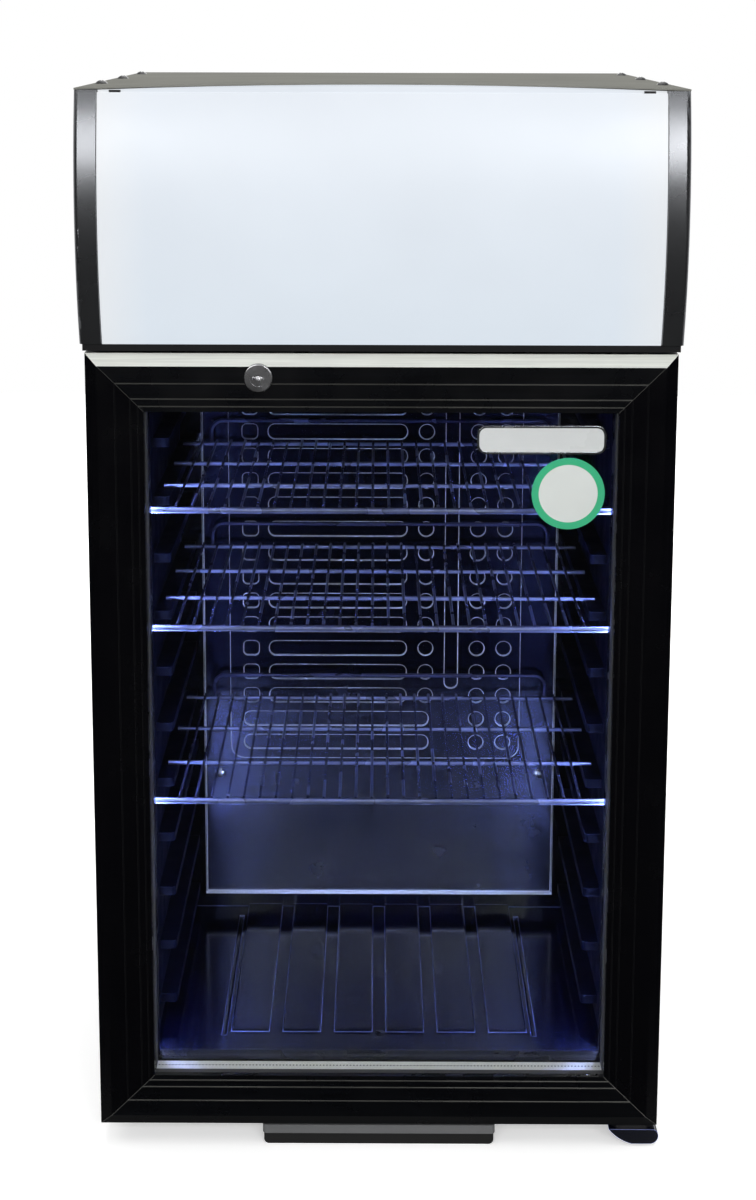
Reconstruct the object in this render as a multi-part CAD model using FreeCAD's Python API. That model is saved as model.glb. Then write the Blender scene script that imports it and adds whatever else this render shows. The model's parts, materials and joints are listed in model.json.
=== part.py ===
"""Counter-top glass door merchandiser, built as separate pieces.

Millimetres. The origin lies on the floor under the middle of the object. +Z is up, the door faces -Y
and is hinged on the +X side.
"""
import FreeCAD
import Part
import math
import os
from FreeCAD import Vector

# ---- overall sizes
overall_depth = 480.0
cabinet_width = 430.0
cabinet_height = 606.0
canopy_overhang = 3.0
canopy_height = 183.0
foot_height = 17.0

# ---- cabinet walls
sheet = 1.0
liner_sheet = 1.5
side_wall = 36.5
floor_wall = 34.0
roof_wall = 33.0
back_wall = 40.0
rear_bay = 59.0
base_tail = 40.0
front_strip_thick = 2.0
side_return = 20.0
rear_return = 12.0

# ---- door
door_gap = 1.0
door_thickness = 40.0
gasket_thickness = 5.0
gasket_gap = 0.3
rail_width = 42.5
chamfer_width = 9.0
chamfer_depth = 5.0
trim_thick = 0.5
profile_lines = (21.7, 33.0, 38.5)
line_width = 0.8
line_depth = 0.6
glazing_lip = 5.0
glazing_overlap = 8.0
glazing_clearance = 0.3
pane_thick = 4.0
pane_gap = 12.0
pane_edge_gap = 1.0
spacer_reach = 0.6
frame_wall = 3.0
key_clearance = 0.2
key_arm = 55.0
gasket_inset = 22.0
gasket_width = 10.0

# ---- hinges
hinge_inset = 12.0
hinge_back = 20.0
pin_radius = 3.0
pin_clearance = 0.05
bush_wall = 2.0
bush_length = 14.0
upper_plate_thick = 2.5
lower_plate_thick = 3.0
hinge_cover_height = 12.0

# ---- lock
lock_x = -89.0
lock_drop = 17.4
lock_ring_radius = 10.35
lock_barrel_radius = 9.5
lock_barrel_length = 16.0
plug_radius = 6.0
plug_shaft_radius = 3.0
cam_thick = 2.0
cam_width = 8.0
cam_length = 21.0
cam_gap = 0.4
nut_radius = 12.2
nut_thick = 3.0
keyway_half = 4.2
keyway_depth = 7.0

# ---- shelves
ledge_first = 23.0
ledge_pitch = 46.4
ledge_headroom = 50.0
ledge_height = 7.0
ledge_reach = 13.5
ledge_setback = 62.0
shelf_drops = {"bottom": 6, "middle": 3, "top": 1}
shelf_setback = 11.0
shelf_end_gap = 1.0
shelf_seat_gap = 0.3
bar_radius = 1.75
front_wire_radius = 2.5
rod_radius = 1.1
weld = 0.5
rod_margin = 21.9
rod_pitch = 12.45
bar_count = 3
bar_inset = 5.0
shelf_back_gap = 13.8
upstand_height = 20.0
upstand_margin = 29.5
upstand_bend = 10.0

# ---- liner floor
plateau_height = 2.5
rib_pitch = 41.7
rib_width = 11.0
rib_margin = 50.0
plateau_front = 43.0
floor_sheet = 4.5
drain_radius = 5.0
drain_front = 38.0
groove_radius = 2.2
groove_rise = 0.8

# ---- interior light
light_width = 14.0
light_depth = 6.0

# ---- evaporator
evaporator_side_gap = 20.5
evaporator_bottom = 20.0
evaporator_top = 15.0
evaporator_standoff = 12.0
evaporator_sheet = 1.2
channel_height = 2.0
island_pitch = 22.0
island_height = 13.5
pattern_rise = 130.0
pattern_headroom = 13.0
pattern_left_margin = 24.0
pattern_right_margin = 32.0
pattern_border = 12.0
foot_lip = 4.0
side_lip = 2.5
square_width = 14.0
slot_start = 35.0
slot_end = 102.0
long_slot_end = 82.0
long_slot_rows = 2
round_column = 85.0
twin_columns = (39.0, 15.0)
header_column = 62.0
header_width = 12.0
header_first_row = 3
plate_screw_inset = 13.5
plate_screw_drop = 15.0
plate_screw_radius = 4.5
plate_screw_height = 2.2
standoff_radius = 5.0

# ---- canopy
canopy_bulge = 14.0
tray_height = 6.0
tray_sheet = 1.2
cap_width = 16.0
cap_wall = 2.5
cap_rib_depth = 20.0
cap_round = 3.5
cap_proud = 1.0
cover_sheet = 1.2
cover_crown = 4.0
face_thick = 4.0
face_side_gap = 0.6
face_top_drop = 3.0
reflector_setback = 90.0
reflector_margin = 23.0
board_margin = 33.0
board_inset = 55.0
board_half_height = 8.0
board_thick = 1.6
lamp_pitch = 22.0
lamp_half = 2.5
driver_setback = 150.0
driver_half = 60.0
driver_depth = 42.0
driver_height = 26.0
clip_margin = 29.0
clip_half = 4.0
screw_side_inset = 8.0
screw_front_setback = 90.0
screw_rear_inset = 71.0
screw_rows = 3
screw_head_radius = 4.7
screw_head_height = 2.5

# ---- support bar and feet
bar_half = 90.0
bar_setback = 6.5
bar_depth = 24.0
bar_pad_height = 9.0
tongue_inset = 27.0
tongue_reach = 60.0
tongue_thick = 4.0
foot_inset = 35.0
foot_front = 60.0
foot_back = 40.0
foot_radius = 15.0

# ---- drain, pan and cord gland
drain_x = 0.0
drain_drop = 16.0
drain_tube_radius = 4.0
hose_gap = 0.3
pan_rim = 10.0
gland_margin = 25.0
pan_lead = 12.0
pan_gland_gap = 52.0
pan_wall = 1.5
pan_gap = 6.0
gland_rise = 19.0
gland_radius = 7.0
gland_rim = 14.0

# ---- lamp switch
switch_margin = 68.0
switch_rise = 50.0
switch_half_x = 7.0
switch_half_z = 10.5
switch_wall = 1.2
rocker_gap = 0.4
rocker_throw = 12.0
rocker_pivot_depth = 3.0
rocker_pin_radius = 1.3
rocker_pin_reach = 0.8

# ---- cooling machinery
compressor_margin = 115.0
compressor_half_x = 68.0
compressor_half_y = 44.0
compressor_height = 138.0
compressor_gap = 4.0
grommet_height = 11.0
mount_thick = 2.5
tube_radius = 2.4
condenser_gap = 27.0
condenser_margin = 45.0
condenser_lead = 16.0
condenser_pitch = 42.0
condenser_rise = 211.0
condenser_headroom = 45.0
wire_pitch = 20.0
wire_radius = 0.7
clip_inset = 30.0

# ---- thermostat
thermostat_margin = 58.5
thermostat_half = 30.0
thermostat_gap = 8.0
thermostat_height = 32.0
thermostat_length = 58.0
knob_radius = 13.0
knob_length = 14.0
knob_gap = 0.4

# ---- worked-out planes
half_width = cabinet_width / 2
canopy_half = half_width + canopy_overhang
object_front = -overall_depth / 2
base_back = overall_depth / 2
door_front = object_front + canopy_bulge
door_back = door_front + door_thickness
cabinet_front = door_back + gasket_thickness
cabinet_bottom = foot_height
cabinet_top = cabinet_bottom + cabinet_height
door_bottom = cabinet_bottom + door_gap
door_top = cabinet_top - door_gap
door_middle = (door_bottom + door_top) / 2
floor_z = cabinet_bottom + floor_wall
ceiling_z = cabinet_top - roof_wall
inner_half = half_width - side_wall
side_back = base_back - base_tail
rear_sheet_back = side_back - rear_bay
liner_back = rear_sheet_back - back_wall
strip_back = cabinet_front + front_strip_thick
canopy_bottom = cabinet_top + tray_height
canopy_top = canopy_bottom + canopy_height
cap_top = canopy_top - cover_sheet
hinge_x = half_width - hinge_inset
hinge_y = door_front + hinge_back
lock_z = door_top - lock_drop
shelf_front_y = cabinet_front + shelf_setback
light_back = strip_back + light_width
ledge_count = int((ceiling_z - ledge_headroom - floor_z - ledge_first) / ledge_pitch) + 1
shelf_half = inner_half - shelf_end_gap
rib_count = int(2 * (inner_half - rib_margin) / rib_pitch) + 1
evaporator_half = inner_half - evaporator_side_gap
evaporator_front = liner_back - evaporator_standoff - evaporator_sheet
rear_bar_y = evaporator_front - shelf_back_gap
evaporator_low = floor_z + evaporator_bottom
evaporator_high = ceiling_z - evaporator_top
pattern_left = pattern_left_margin - evaporator_half
pattern_right = evaporator_half - pattern_right_margin
pattern_bottom = evaporator_low + pattern_rise
pattern_rows = int((evaporator_high - pattern_headroom - pattern_bottom) / island_pitch)
bush_radius = pin_radius + pin_clearance + bush_wall
outer_pane_front = glazing_lip + glazing_clearance
inner_pane_front = outer_pane_front + pane_thick + pane_gap
drain_y = cabinet_front + drain_front
drain_run_z = floor_z - drain_drop
gland_x = half_width - gland_margin
gland_z = cabinet_bottom + gland_rise
reflector_y = object_front + reflector_setback
switch_x = canopy_half - switch_margin
switch_z = canopy_bottom + switch_rise
compressor_x = compressor_margin - half_width
compressor_y = rear_sheet_back + compressor_gap + compressor_half_y
mount_top = cabinet_bottom + sheet + grommet_height + mount_thick
compressor_top = mount_top + compressor_height
condenser_y = rear_sheet_back + condenser_gap
condenser_low = cabinet_bottom + condenser_rise
condenser_half = half_width - condenser_margin
condenser_runs = 2 * int((cabinet_top - condenser_headroom - condenser_low) / (2 * condenser_pitch)) + 1
thermostat_x = inner_half - thermostat_margin
thermostat_back = evaporator_front - thermostat_gap
thermostat_front = thermostat_back - thermostat_length
knob_z = ceiling_z - thermostat_height / 2


# ---- helpers
def box(x0, x1, y0, y1, z0, z1):
    """Box between two opposite corners."""
    return Part.makeBox(x1 - x0, y1 - y0, z1 - z0, Vector(x0, y0, z0))


def rod(start, end, radius):
    """Round bar from one point to another."""
    axis = end - start
    return Part.makeCylinder(radius, axis.Length, start, axis)


def mirror_x(shape):
    return shape.mirror(Vector(0, 0, 0), Vector(1, 0, 0))


def polygon(points):
    """Closed flat face through the points."""
    return Part.Face(Part.makePolygon(points + [points[0]]))


def bent_tube(corners, radius, bend):
    """Round tube along straight runs joined by tangent arcs."""
    edges = []
    start = corners[0]
    for before, corner, after in zip(corners, corners[1:], corners[2:]):
        arrive = (corner - before).normalize()
        leave = (after - corner).normalize()
        half_turn = arrive.getAngle(leave) / 2
        reach = bend * math.tan(half_turn)
        arc_start = corner - arrive * reach
        arc_end = corner + leave * reach
        inward = (leave - arrive).normalize()
        arc_middle = corner + inward * (bend / math.cos(half_turn) - bend)
        if (arc_start - start).Length > 0.01:
            edges.append(Part.makeLine(start, arc_start))
        edges.append(Part.Arc(arc_start, arc_middle, arc_end).toShape())
        start = arc_end
    edges.append(Part.makeLine(start, corners[-1]))
    path = Part.Wire(edges)
    direction = corners[1] - corners[0]
    section = Part.Wire(Part.makeCircle(radius, corners[0], direction))
    return path.makePipeShell([section], True, False)


def slot_prism(x0, x1, z0, z1, y0, y1, radius):
    """Rounded rectangle in XZ, extruded along Y."""
    body = box(x0, x1, y0, y1, z0, z1)
    upright = [e for e in body.Edges if abs(e.tangentAt(e.FirstParameter).y) > 0.99]
    return body.makeFillet(radius, upright)


def dome_screw(x, y, z, radius, height):
    """Dome head with a cross recess, seated at z and pointing up."""
    sphere_radius = (radius * radius + height * height) / (2 * height)
    ball = Part.makeSphere(sphere_radius, Vector(x, y, z + height - sphere_radius))
    head = ball.common(Part.makeCylinder(radius, height, Vector(x, y, z)))
    arm = radius * 0.5
    blade = radius * 0.12
    depth = height * 0.5
    cross = box(x - arm, x + arm, y - blade, y + blade, z + depth, z + 2 * height)
    cross = cross.fuse(box(x - blade, x + blade, y - arm, y + arm, z + depth, z + 2 * height))
    return head.cut(cross)


def turn(shape, centre, axis, degrees):
    copy = shape.copy()
    copy.rotate(centre, axis, degrees)
    return copy


def face_y(z, set_back):
    """Y of the canopy's curved face at height z, moved back by set_back."""
    middle = (canopy_bottom + canopy_top) / 2
    half = canopy_height / 2
    radius = (half * half + canopy_bulge * canopy_bulge) / (2 * canopy_bulge)
    drop = radius - math.sqrt(radius * radius - (z - middle) ** 2)
    return object_front + drop + set_back


def curved_slab(x0, x1, front_set, back_set, z0, z1):
    """Sheet that follows the canopy's curved face between two set-backs."""
    middle = (z0 + z1) / 2
    front = [Vector(x0, face_y(z, front_set), z) for z in (z0, middle, z1)]
    back = [Vector(x0, face_y(z, back_set), z) for z in (z1, middle, z0)]
    outline = Part.Wire([
        Part.Arc(front[0], front[1], front[2]).toShape(),
        Part.makeLine(front[2], back[0]),
        Part.Arc(back[0], back[1], back[2]).toShape(),
        Part.makeLine(back[2], front[0]),
    ])
    return Part.Face(outline).extrude(Vector(x1 - x0, 0, 0))


# ---- cabinet shell
def side_panel():
    """Left steel side with its front and rear returns."""
    low = cabinet_bottom + sheet
    high = cabinet_top - sheet
    panel = box(-half_width, -half_width + sheet, cabinet_front, side_back, low, high)
    front = box(-half_width, -half_width + side_return, cabinet_front, cabinet_front + sheet, low, high)
    rear = box(-half_width, -half_width + rear_return, side_back - sheet, side_back, low, high)
    return panel.fuse([front, rear]).removeSplitter()


def cabinet_top_panel():
    return box(-half_width, half_width, cabinet_front, side_back, cabinet_top - sheet, cabinet_top)


def base_pan():
    """Bottom sheet; it runs back under the compressor and turns up behind it."""
    pan = box(-half_width, half_width, cabinet_front, base_back, cabinet_bottom, cabinet_bottom + sheet)
    wall = box(-half_width, half_width, base_back - sheet, base_back, cabinet_bottom, gland_z + gland_rim)
    gland_hole = rod(Vector(gland_x, base_back - 2 * sheet, gland_z),
                     Vector(gland_x, base_back + sheet, gland_z), gland_radius)
    return pan.fuse(wall).removeSplitter().cut(gland_hole)


def rear_sheet():
    """Sheet behind the insulation, with the drain hose's hole."""
    plate = box(-half_width + sheet, half_width - sheet, rear_sheet_back - sheet, rear_sheet_back,
                cabinet_bottom + sheet, cabinet_top - sheet)
    hole = rod(Vector(drain_x, rear_sheet_back - 2 * sheet, drain_run_z),
               Vector(drain_x, rear_sheet_back + sheet, drain_run_z), drain_tube_radius + hose_gap)
    return plate.cut(hole)


def front_frame_strips():
    """Plastic strips that close the insulation's front edge and take the gasket."""
    outer = half_width - side_return
    low = cabinet_bottom + sheet
    high = cabinet_top - sheet
    left = box(-outer, -inner_half, cabinet_front, strip_back, low, high)
    top = box(-inner_half, inner_half, cabinet_front, strip_back, ceiling_z, high)
    bottom = box(-inner_half, inner_half, cabinet_front, strip_back, low, floor_z)
    return Part.makeCompound([left, mirror_x(left), top, bottom])


def insulation_foam():
    """Foam as five slabs around the liner."""
    outer = half_width - sheet
    inner = inner_half + liner_sheet
    back = rear_sheet_back - sheet
    low = cabinet_bottom + sheet
    high = cabinet_top - sheet
    left = box(-outer, -inner, strip_back, back, low, high)
    light = box(-inner_half - light_depth, -inner_half, strip_back, light_back, floor_z, ceiling_z)
    left = left.cut(light)
    bottom = box(-inner, inner, strip_back, back, low, floor_z - floor_sheet)
    hose = drain_tube_radius + hose_gap
    channel = rod(Vector(drain_x, drain_y, drain_run_z), Vector(drain_x, back + 1, drain_run_z), hose)
    well = rod(Vector(drain_x, drain_y, drain_run_z - hose), Vector(drain_x, drain_y, floor_z), hose)
    elbow = Part.makeSphere(drain_tube_radius + 3, Vector(drain_x, drain_y, drain_run_z))
    bottom = bottom.cut([channel, well, elbow])
    top = box(-inner, inner, strip_back, back, ceiling_z + liner_sheet, high)
    rear = box(-inner, inner, liner_back + liner_sheet, back, floor_z - floor_sheet, ceiling_z + liner_sheet)
    return Part.makeCompound([left, mirror_x(left), bottom, top, rear])


# ---- liner
def liner_side_wall():
    """Left inner wall with its row of shelf ledges."""
    wall = box(-inner_half - liner_sheet, -inner_half, light_back, liner_back, floor_z, ceiling_z)
    ledges = []
    start = cabinet_front + ledge_setback
    for step in range(ledge_count):
        top = floor_z + ledge_first + step * ledge_pitch
        ledge = box(-inner_half, -inner_half + ledge_reach, start, liner_back, top - ledge_height, top)
        nose = [e for e in ledge.Edges
                if abs(e.CenterOfMass.x - (-inner_half + ledge_reach)) < 0.01
                and abs(e.CenterOfMass.y - start) < 0.01]
        ledges.append(ledge.makeFillet(ledge_height / 2, nose))
    return wall.fuse(ledges).removeSplitter()


def liner_back_panel():
    return box(-inner_half, inner_half, liner_back, liner_back + liner_sheet, floor_z, ceiling_z)


def liner_ceiling():
    return box(-inner_half - liner_sheet, inner_half + liner_sheet, strip_back, liner_back + liner_sheet,
               ceiling_z, ceiling_z + liner_sheet)


def liner_floor():
    """Floor tray with raised plateaus, a front lip, two outer grooves and the drain hole."""
    floor = box(-inner_half - liner_sheet, inner_half + liner_sheet, strip_back, liner_back + liner_sheet,
                floor_z - floor_sheet, floor_z)
    start = cabinet_front + plateau_front
    plateau_width = rib_pitch - rib_width
    plateaus = []
    for step in range(rib_count - 1):
        middle = (step - (rib_count - 2) / 2) * rib_pitch
        plateau = box(middle - plateau_width / 2, middle + plateau_width / 2, start, liner_back,
                      floor_z, floor_z + plateau_height)
        crest = [e for e in plateau.Edges
                 if e.CenterOfMass.z > floor_z + plateau_height / 2 and e.CenterOfMass.y < liner_back - 1]
        plateaus.append(plateau.makeFillet(plateau_height * 0.45, crest))
    floor = floor.fuse(plateaus)
    groove_x = (rib_count - 1) / 2 * rib_pitch
    for side in (-1, 1):
        floor = floor.cut(rod(Vector(side * groove_x, start - 6, floor_z + groove_rise),
                              Vector(side * groove_x, liner_back - 20, floor_z + groove_rise), groove_radius))
    return floor.cut(Part.makeCylinder(drain_radius, 3 * floor_sheet,
                                       Vector(drain_x, drain_y, floor_z - 2 * floor_sheet)))


def drain_fitting():
    """Flanged funnel in the floor's drain hole."""
    body = Part.makeCylinder(drain_radius - 0.1, floor_sheet, Vector(drain_x, drain_y, floor_z - floor_sheet))
    flange = Part.makeCylinder(drain_radius + 1.8, 0.8, Vector(drain_x, drain_y, floor_z))
    hole = Part.makeCylinder(drain_tube_radius - 1, 4 * floor_sheet,
                             Vector(drain_x, drain_y, floor_z - 2 * floor_sheet))
    return body.fuse(flange).removeSplitter().cut(hole)


def drain_tube():
    """Hose from the drain fitting back through the foam to the pan."""
    top = floor_z - floor_sheet
    corners = [Vector(drain_x, drain_y, top), Vector(drain_x, drain_y, drain_run_z),
               Vector(drain_x, rear_sheet_back + 24, drain_run_z)]
    return bent_tube(corners, drain_tube_radius, drain_tube_radius + 1)


def interior_lights():
    """Two upright light strips let into the insulation beside the opening."""
    left = box(-inner_half - light_depth, -inner_half, strip_back, light_back, floor_z, ceiling_z)
    return Part.makeCompound([left, mirror_x(left)])


# ---- evaporator
def evaporator_plate():
    """Roll-bond sheet: raised channels left between flat islands, and a turned edge."""
    half = evaporator_half
    back = evaporator_front + evaporator_sheet
    plate = box(-half, half, evaporator_front, back, evaporator_low, evaporator_high)
    rim = [box(-half, half, evaporator_front - foot_lip, evaporator_front, evaporator_low,
               evaporator_low + evaporator_sheet),
           box(-half, -half + evaporator_sheet, evaporator_front - side_lip, evaporator_front,
               evaporator_low, evaporator_high),
           box(half - evaporator_sheet, half, evaporator_front - side_lip, evaporator_front,
               evaporator_low, evaporator_high)]
    raised_back = evaporator_front
    raised_front = evaporator_front - channel_height
    pattern_top = pattern_bottom + pattern_rows * island_pitch + (island_pitch - island_height)
    raised = slot_prism(pattern_left, pattern_right, pattern_bottom, pattern_top,
                        raised_front, raised_back, pattern_border)
    islands = []
    for row in range(pattern_rows):
        low = pattern_bottom + (island_pitch - island_height) + row * island_pitch
        islands.extend(island_row(row, low, low + island_height, raised_front - 1, raised_back))
    header_low = pattern_bottom + header_first_row * island_pitch
    header_x = pattern_right - header_column
    islands.append(slot_prism(header_x - header_width / 2, header_x + header_width / 2, header_low,
                              pattern_top - pattern_border - 2, raised_front - 1, raised_back,
                              header_width / 2 - 0.5))
    raised = raised.cut(islands)
    return plate.fuse(rim + [raised]).removeSplitter()


def island_row(row, low, high, y0, y1):
    """Flat islands of one row: left square, long slot, small round and two right rounds."""
    middle = (low + high) / 2
    radius = island_height / 2
    shapes = []
    left = pattern_left + pattern_border
    if row < long_slot_rows:
        shapes.append(slot_prism(left, pattern_right - long_slot_end, low, high, y0, y1, radius - 0.5))
        columns = twin_columns
    else:
        shapes.append(slot_prism(left, left + square_width, low, high, y0, y1, 0.6 * radius))
        shapes.append(slot_prism(pattern_left + slot_start, pattern_right - slot_end, low, high, y0, y1,
                                 radius - 0.5))
        columns = (round_column,) + twin_columns
    for column in columns:
        x = pattern_right - column
        shapes.append(rod(Vector(x, y0, middle), Vector(x, y1, middle), radius))
    return shapes


def evaporator_fixings():
    """Places of the four screws, as (x, z)."""
    x = evaporator_half - plate_screw_inset
    heights = (pattern_bottom - plate_screw_drop, evaporator_high - plate_screw_drop)
    return [(side * x, z) for side in (-1, 1) for z in heights]


def evaporator_standoffs():
    back = evaporator_front + evaporator_sheet
    return Part.makeCompound([rod(Vector(x, back, z), Vector(x, liner_back, z), standoff_radius)
                              for x, z in evaporator_fixings()])


def evaporator_screws():
    heads = []
    for x, z in evaporator_fixings():
        head = dome_screw(x, 0, 0, plate_screw_radius, plate_screw_height)
        head = turn(head, Vector(x, 0, 0), Vector(1, 0, 0), 90)
        head.translate(Vector(0, evaporator_front, z))
        heads.append(head)
    return Part.makeCompound(heads)


# ---- wire shelf
def shelf_bar_z(level):
    """Height of the bars that rest on a shelf's pair of ledges."""
    ledge = ledge_count - 1 - shelf_drops[level]
    return floor_z + ledge_first + ledge * ledge_pitch + shelf_seat_gap + bar_radius


def wire_shelf(level):
    """Bars, front wire, rods and the turned-up back, welded into one piece."""
    bar_z = shelf_bar_z(level)
    front_z = bar_z - (front_wire_radius - bar_radius)
    front = rod(Vector(-shelf_half, shelf_front_y, front_z), Vector(shelf_half, shelf_front_y, front_z),
                front_wire_radius)
    bar_half_length = shelf_half - bar_inset
    pieces = []
    for index in range(bar_count):
        y = shelf_front_y + (index + 1) / bar_count * (rear_bar_y - shelf_front_y)
        pieces.append(rod(Vector(-bar_half_length, y, bar_z), Vector(bar_half_length, y, bar_z), bar_radius))
    rod_z = bar_z + bar_radius + rod_radius - weld
    rod_end = rear_bar_y + bar_radius + 1
    rod_half = shelf_half - rod_margin
    rod_spaces = round(2 * rod_half / rod_pitch)
    for index in range(rod_spaces + 1):
        x = -rod_half + index * 2 * rod_half / rod_spaces
        pieces.append(rod(Vector(x, shelf_front_y - 1, rod_z), Vector(x, rod_end, rod_z), rod_radius))
    return front.fuse(pieces)


def shelf_back_rail(level):
    """Upright loop welded behind the rear bar."""
    low = shelf_bar_z(level) - bar_radius
    top = low + bar_radius + upstand_height
    y = rear_bar_y + 2 * bar_radius
    half = shelf_half - upstand_margin
    corners = [Vector(-half, y, low), Vector(-half, y, top), Vector(half, y, top), Vector(half, y, low)]
    return bent_tube(corners, bar_radius, upstand_bend)


# ---- door
def door_profile():
    """Section of the door frame as (inward, backward) points, without its hollow."""
    slot_back = glazing_lip + 2 * pane_thick + pane_gap + 2 * glazing_clearance
    inner = rail_width - glazing_overlap
    points = [(0, door_thickness), (0, chamfer_depth), (chamfer_width, 0)]
    for line in profile_lines:
        points += [(line - line_width / 2, 0), (line - line_width / 2, line_depth),
                   (line + line_width / 2, line_depth), (line + line_width / 2, 0)]
    points += [(rail_width, 0), (rail_width, glazing_lip), (inner, glazing_lip), (inner, slot_back),
               (rail_width, slot_back), (rail_width, door_thickness)]
    return points


def door_hollow():
    inner = rail_width - glazing_overlap - frame_wall
    front = chamfer_depth + frame_wall
    back = door_thickness - frame_wall
    return [(frame_wall, front), (inner, front), (inner, back), (frame_wall, back)]


def along_top(points):
    """Extrude (inward, backward) points along the top edge of the door."""
    face = polygon([Vector(-half_width, door_front + v, door_top - u) for u, v in points])
    return face.extrude(Vector(cabinet_width, 0, 0))


def along_left(points):
    face = polygon([Vector(-half_width + u, door_front + v, door_bottom) for u, v in points])
    return face.extrude(Vector(0, 0, door_top - door_bottom))


def mitre_top(width):
    """Wedge of the door plane that belongs to the top member."""
    y = door_front - 5
    corners = [Vector(-half_width, y, door_top), Vector(half_width, y, door_top),
               Vector(half_width - width, y, door_top - width),
               Vector(-half_width + width, y, door_top - width)]
    return polygon(corners).extrude(Vector(0, door_thickness + 15, 0))


def mitre_left(width):
    y = door_front - 5
    corners = [Vector(-half_width, y, door_bottom), Vector(-half_width, y, door_top),
               Vector(-half_width + width, y, door_top - width),
               Vector(-half_width + width, y, door_bottom + width)]
    return polygon(corners).extrude(Vector(0, door_thickness + 15, 0))


def mirror_door(shape):
    """Mirror across the middle height of the door."""
    return shape.mirror(Vector(0, 0, door_middle), Vector(0, 0, 1))


def plain_rail():
    return along_top(door_profile()).cut(along_top(door_hollow())).common(mitre_top(rail_width))


def bush_hole(radius):
    """Hole for the upper hinge bush, down from the door's top edge."""
    return Part.makeCylinder(radius, bush_length + 1, Vector(hinge_x, hinge_y, door_top - bush_length - 0.5))


def door_top_rail():
    """Top rail with the lock's holes and the upper hinge bush's hole."""
    front_hole = rod(Vector(lock_x, door_front - 1, lock_z),
                     Vector(lock_x, door_front + door_thickness / 2, lock_z),
                     lock_barrel_radius + 0.1)
    back_hole = rod(Vector(lock_x, door_front, lock_z), Vector(lock_x, door_back + 1, lock_z),
                    plug_shaft_radius + 0.5)
    return plain_rail().cut([front_hole, back_hole, bush_hole(bush_radius + 0.1)])


def door_bottom_rail():
    return mirror_door(plain_rail().cut(bush_hole(bush_radius + 0.1)))


def door_stile():
    return along_left(door_profile()).cut(along_left(door_hollow())).common(mitre_left(rail_width))


def door_top_trim():
    """Bright strip laid on the top rail's chamfer, mitred like the rail."""
    points = [(0, chamfer_depth), (chamfer_width, 0), (chamfer_width, -trim_thick),
              (0, chamfer_depth - trim_thick)]
    ring = rod(Vector(lock_x, door_front - 5, lock_z), Vector(lock_x, door_front + 5, lock_z),
               lock_ring_radius + 0.2)
    return along_top(points).common(mitre_top(rail_width)).cut(ring)


def corner_key():
    """Upper left angle block that joins two frame members from inside."""
    inner = rail_width - glazing_overlap - frame_wall - key_clearance
    outer = frame_wall + key_clearance
    front = door_front + chamfer_depth + frame_wall + key_clearance
    back = door_back - frame_wall - key_clearance
    across = box(-half_width + outer, -half_width + key_arm, front, back, door_top - inner, door_top - outer)
    down = box(-half_width + outer, -half_width + inner, front, back, door_top - key_arm, door_top - outer)
    return across.fuse(down).removeSplitter()


def corner_keys():
    """Four angle blocks; the two on the hinge side are bored for the bushes."""
    left = corner_key()
    right = mirror_x(left).cut(bush_hole(bush_radius + 0.1))
    return Part.makeCompound([left, mirror_door(left), right, mirror_door(right)])


def pane(front):
    """Glass pane whose front face lies at the given depth in the door."""
    edge = rail_width - glazing_overlap + pane_edge_gap
    y = door_front + front
    return box(-half_width + edge, half_width - edge, y, y + pane_thick, door_bottom + edge, door_top - edge)


def glass_spacer():
    """Spacer bars between the panes, just inside the sight line."""
    edge = rail_width - glazing_overlap + pane_edge_gap
    inner = rail_width + spacer_reach
    front = door_front + outer_pane_front + pane_thick
    back = front + pane_gap
    top = box(-half_width + edge, half_width - edge, front, back, door_top - inner, door_top - edge)
    left = box(-half_width + edge, -half_width + inner, front, back, door_bottom + inner, door_top - inner)
    return Part.makeCompound([top, mirror_door(top), left, mirror_x(left)])


def door_gasket():
    """Four mitred strips of magnetic gasket on the back of the door."""
    end = gasket_inset + gasket_width
    depth = gasket_thickness - gasket_gap
    points = [(gasket_inset, door_thickness), (end, door_thickness), (end, door_thickness + depth),
              (gasket_inset, door_thickness + depth)]
    top = along_top(points).common(mitre_top(end))
    left = along_left(points).common(mitre_left(end))
    return Part.makeCompound([top, mirror_door(top), left, mirror_x(left)])


# ---- lock
def lock_barrel():
    """Barrel with its dished front ring."""
    start = Vector(lock_x, door_front, lock_z)
    body = rod(start, start + Vector(0, lock_barrel_length, 0), lock_barrel_radius)
    ring = rod(start - Vector(0, 1.5, 0), start, lock_ring_radius)
    ring = ring.makeFillet(0.7, [e for e in ring.Edges if e.CenterOfMass.y < door_front - 1])
    bore = rod(start - Vector(0, 3, 0), start + Vector(0, lock_barrel_length + 1, 0),
               plug_radius + pin_clearance)
    return body.fuse(ring).removeSplitter().cut(bore)


def lock_nut():
    """Hexagon nut inside the top rail."""
    front = door_front + chamfer_depth + frame_wall
    corners = []
    for step in range(6):
        angle = math.radians(60 * step)
        corners.append(Vector(lock_x + nut_radius * math.cos(angle), front,
                              lock_z + nut_radius * math.sin(angle)))
    nut = polygon(corners).extrude(Vector(0, nut_thick, 0))
    return nut.cut(rod(Vector(lock_x, front - 1, lock_z), Vector(lock_x, front + 5, lock_z),
                       lock_barrel_radius + 0.05))


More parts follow.
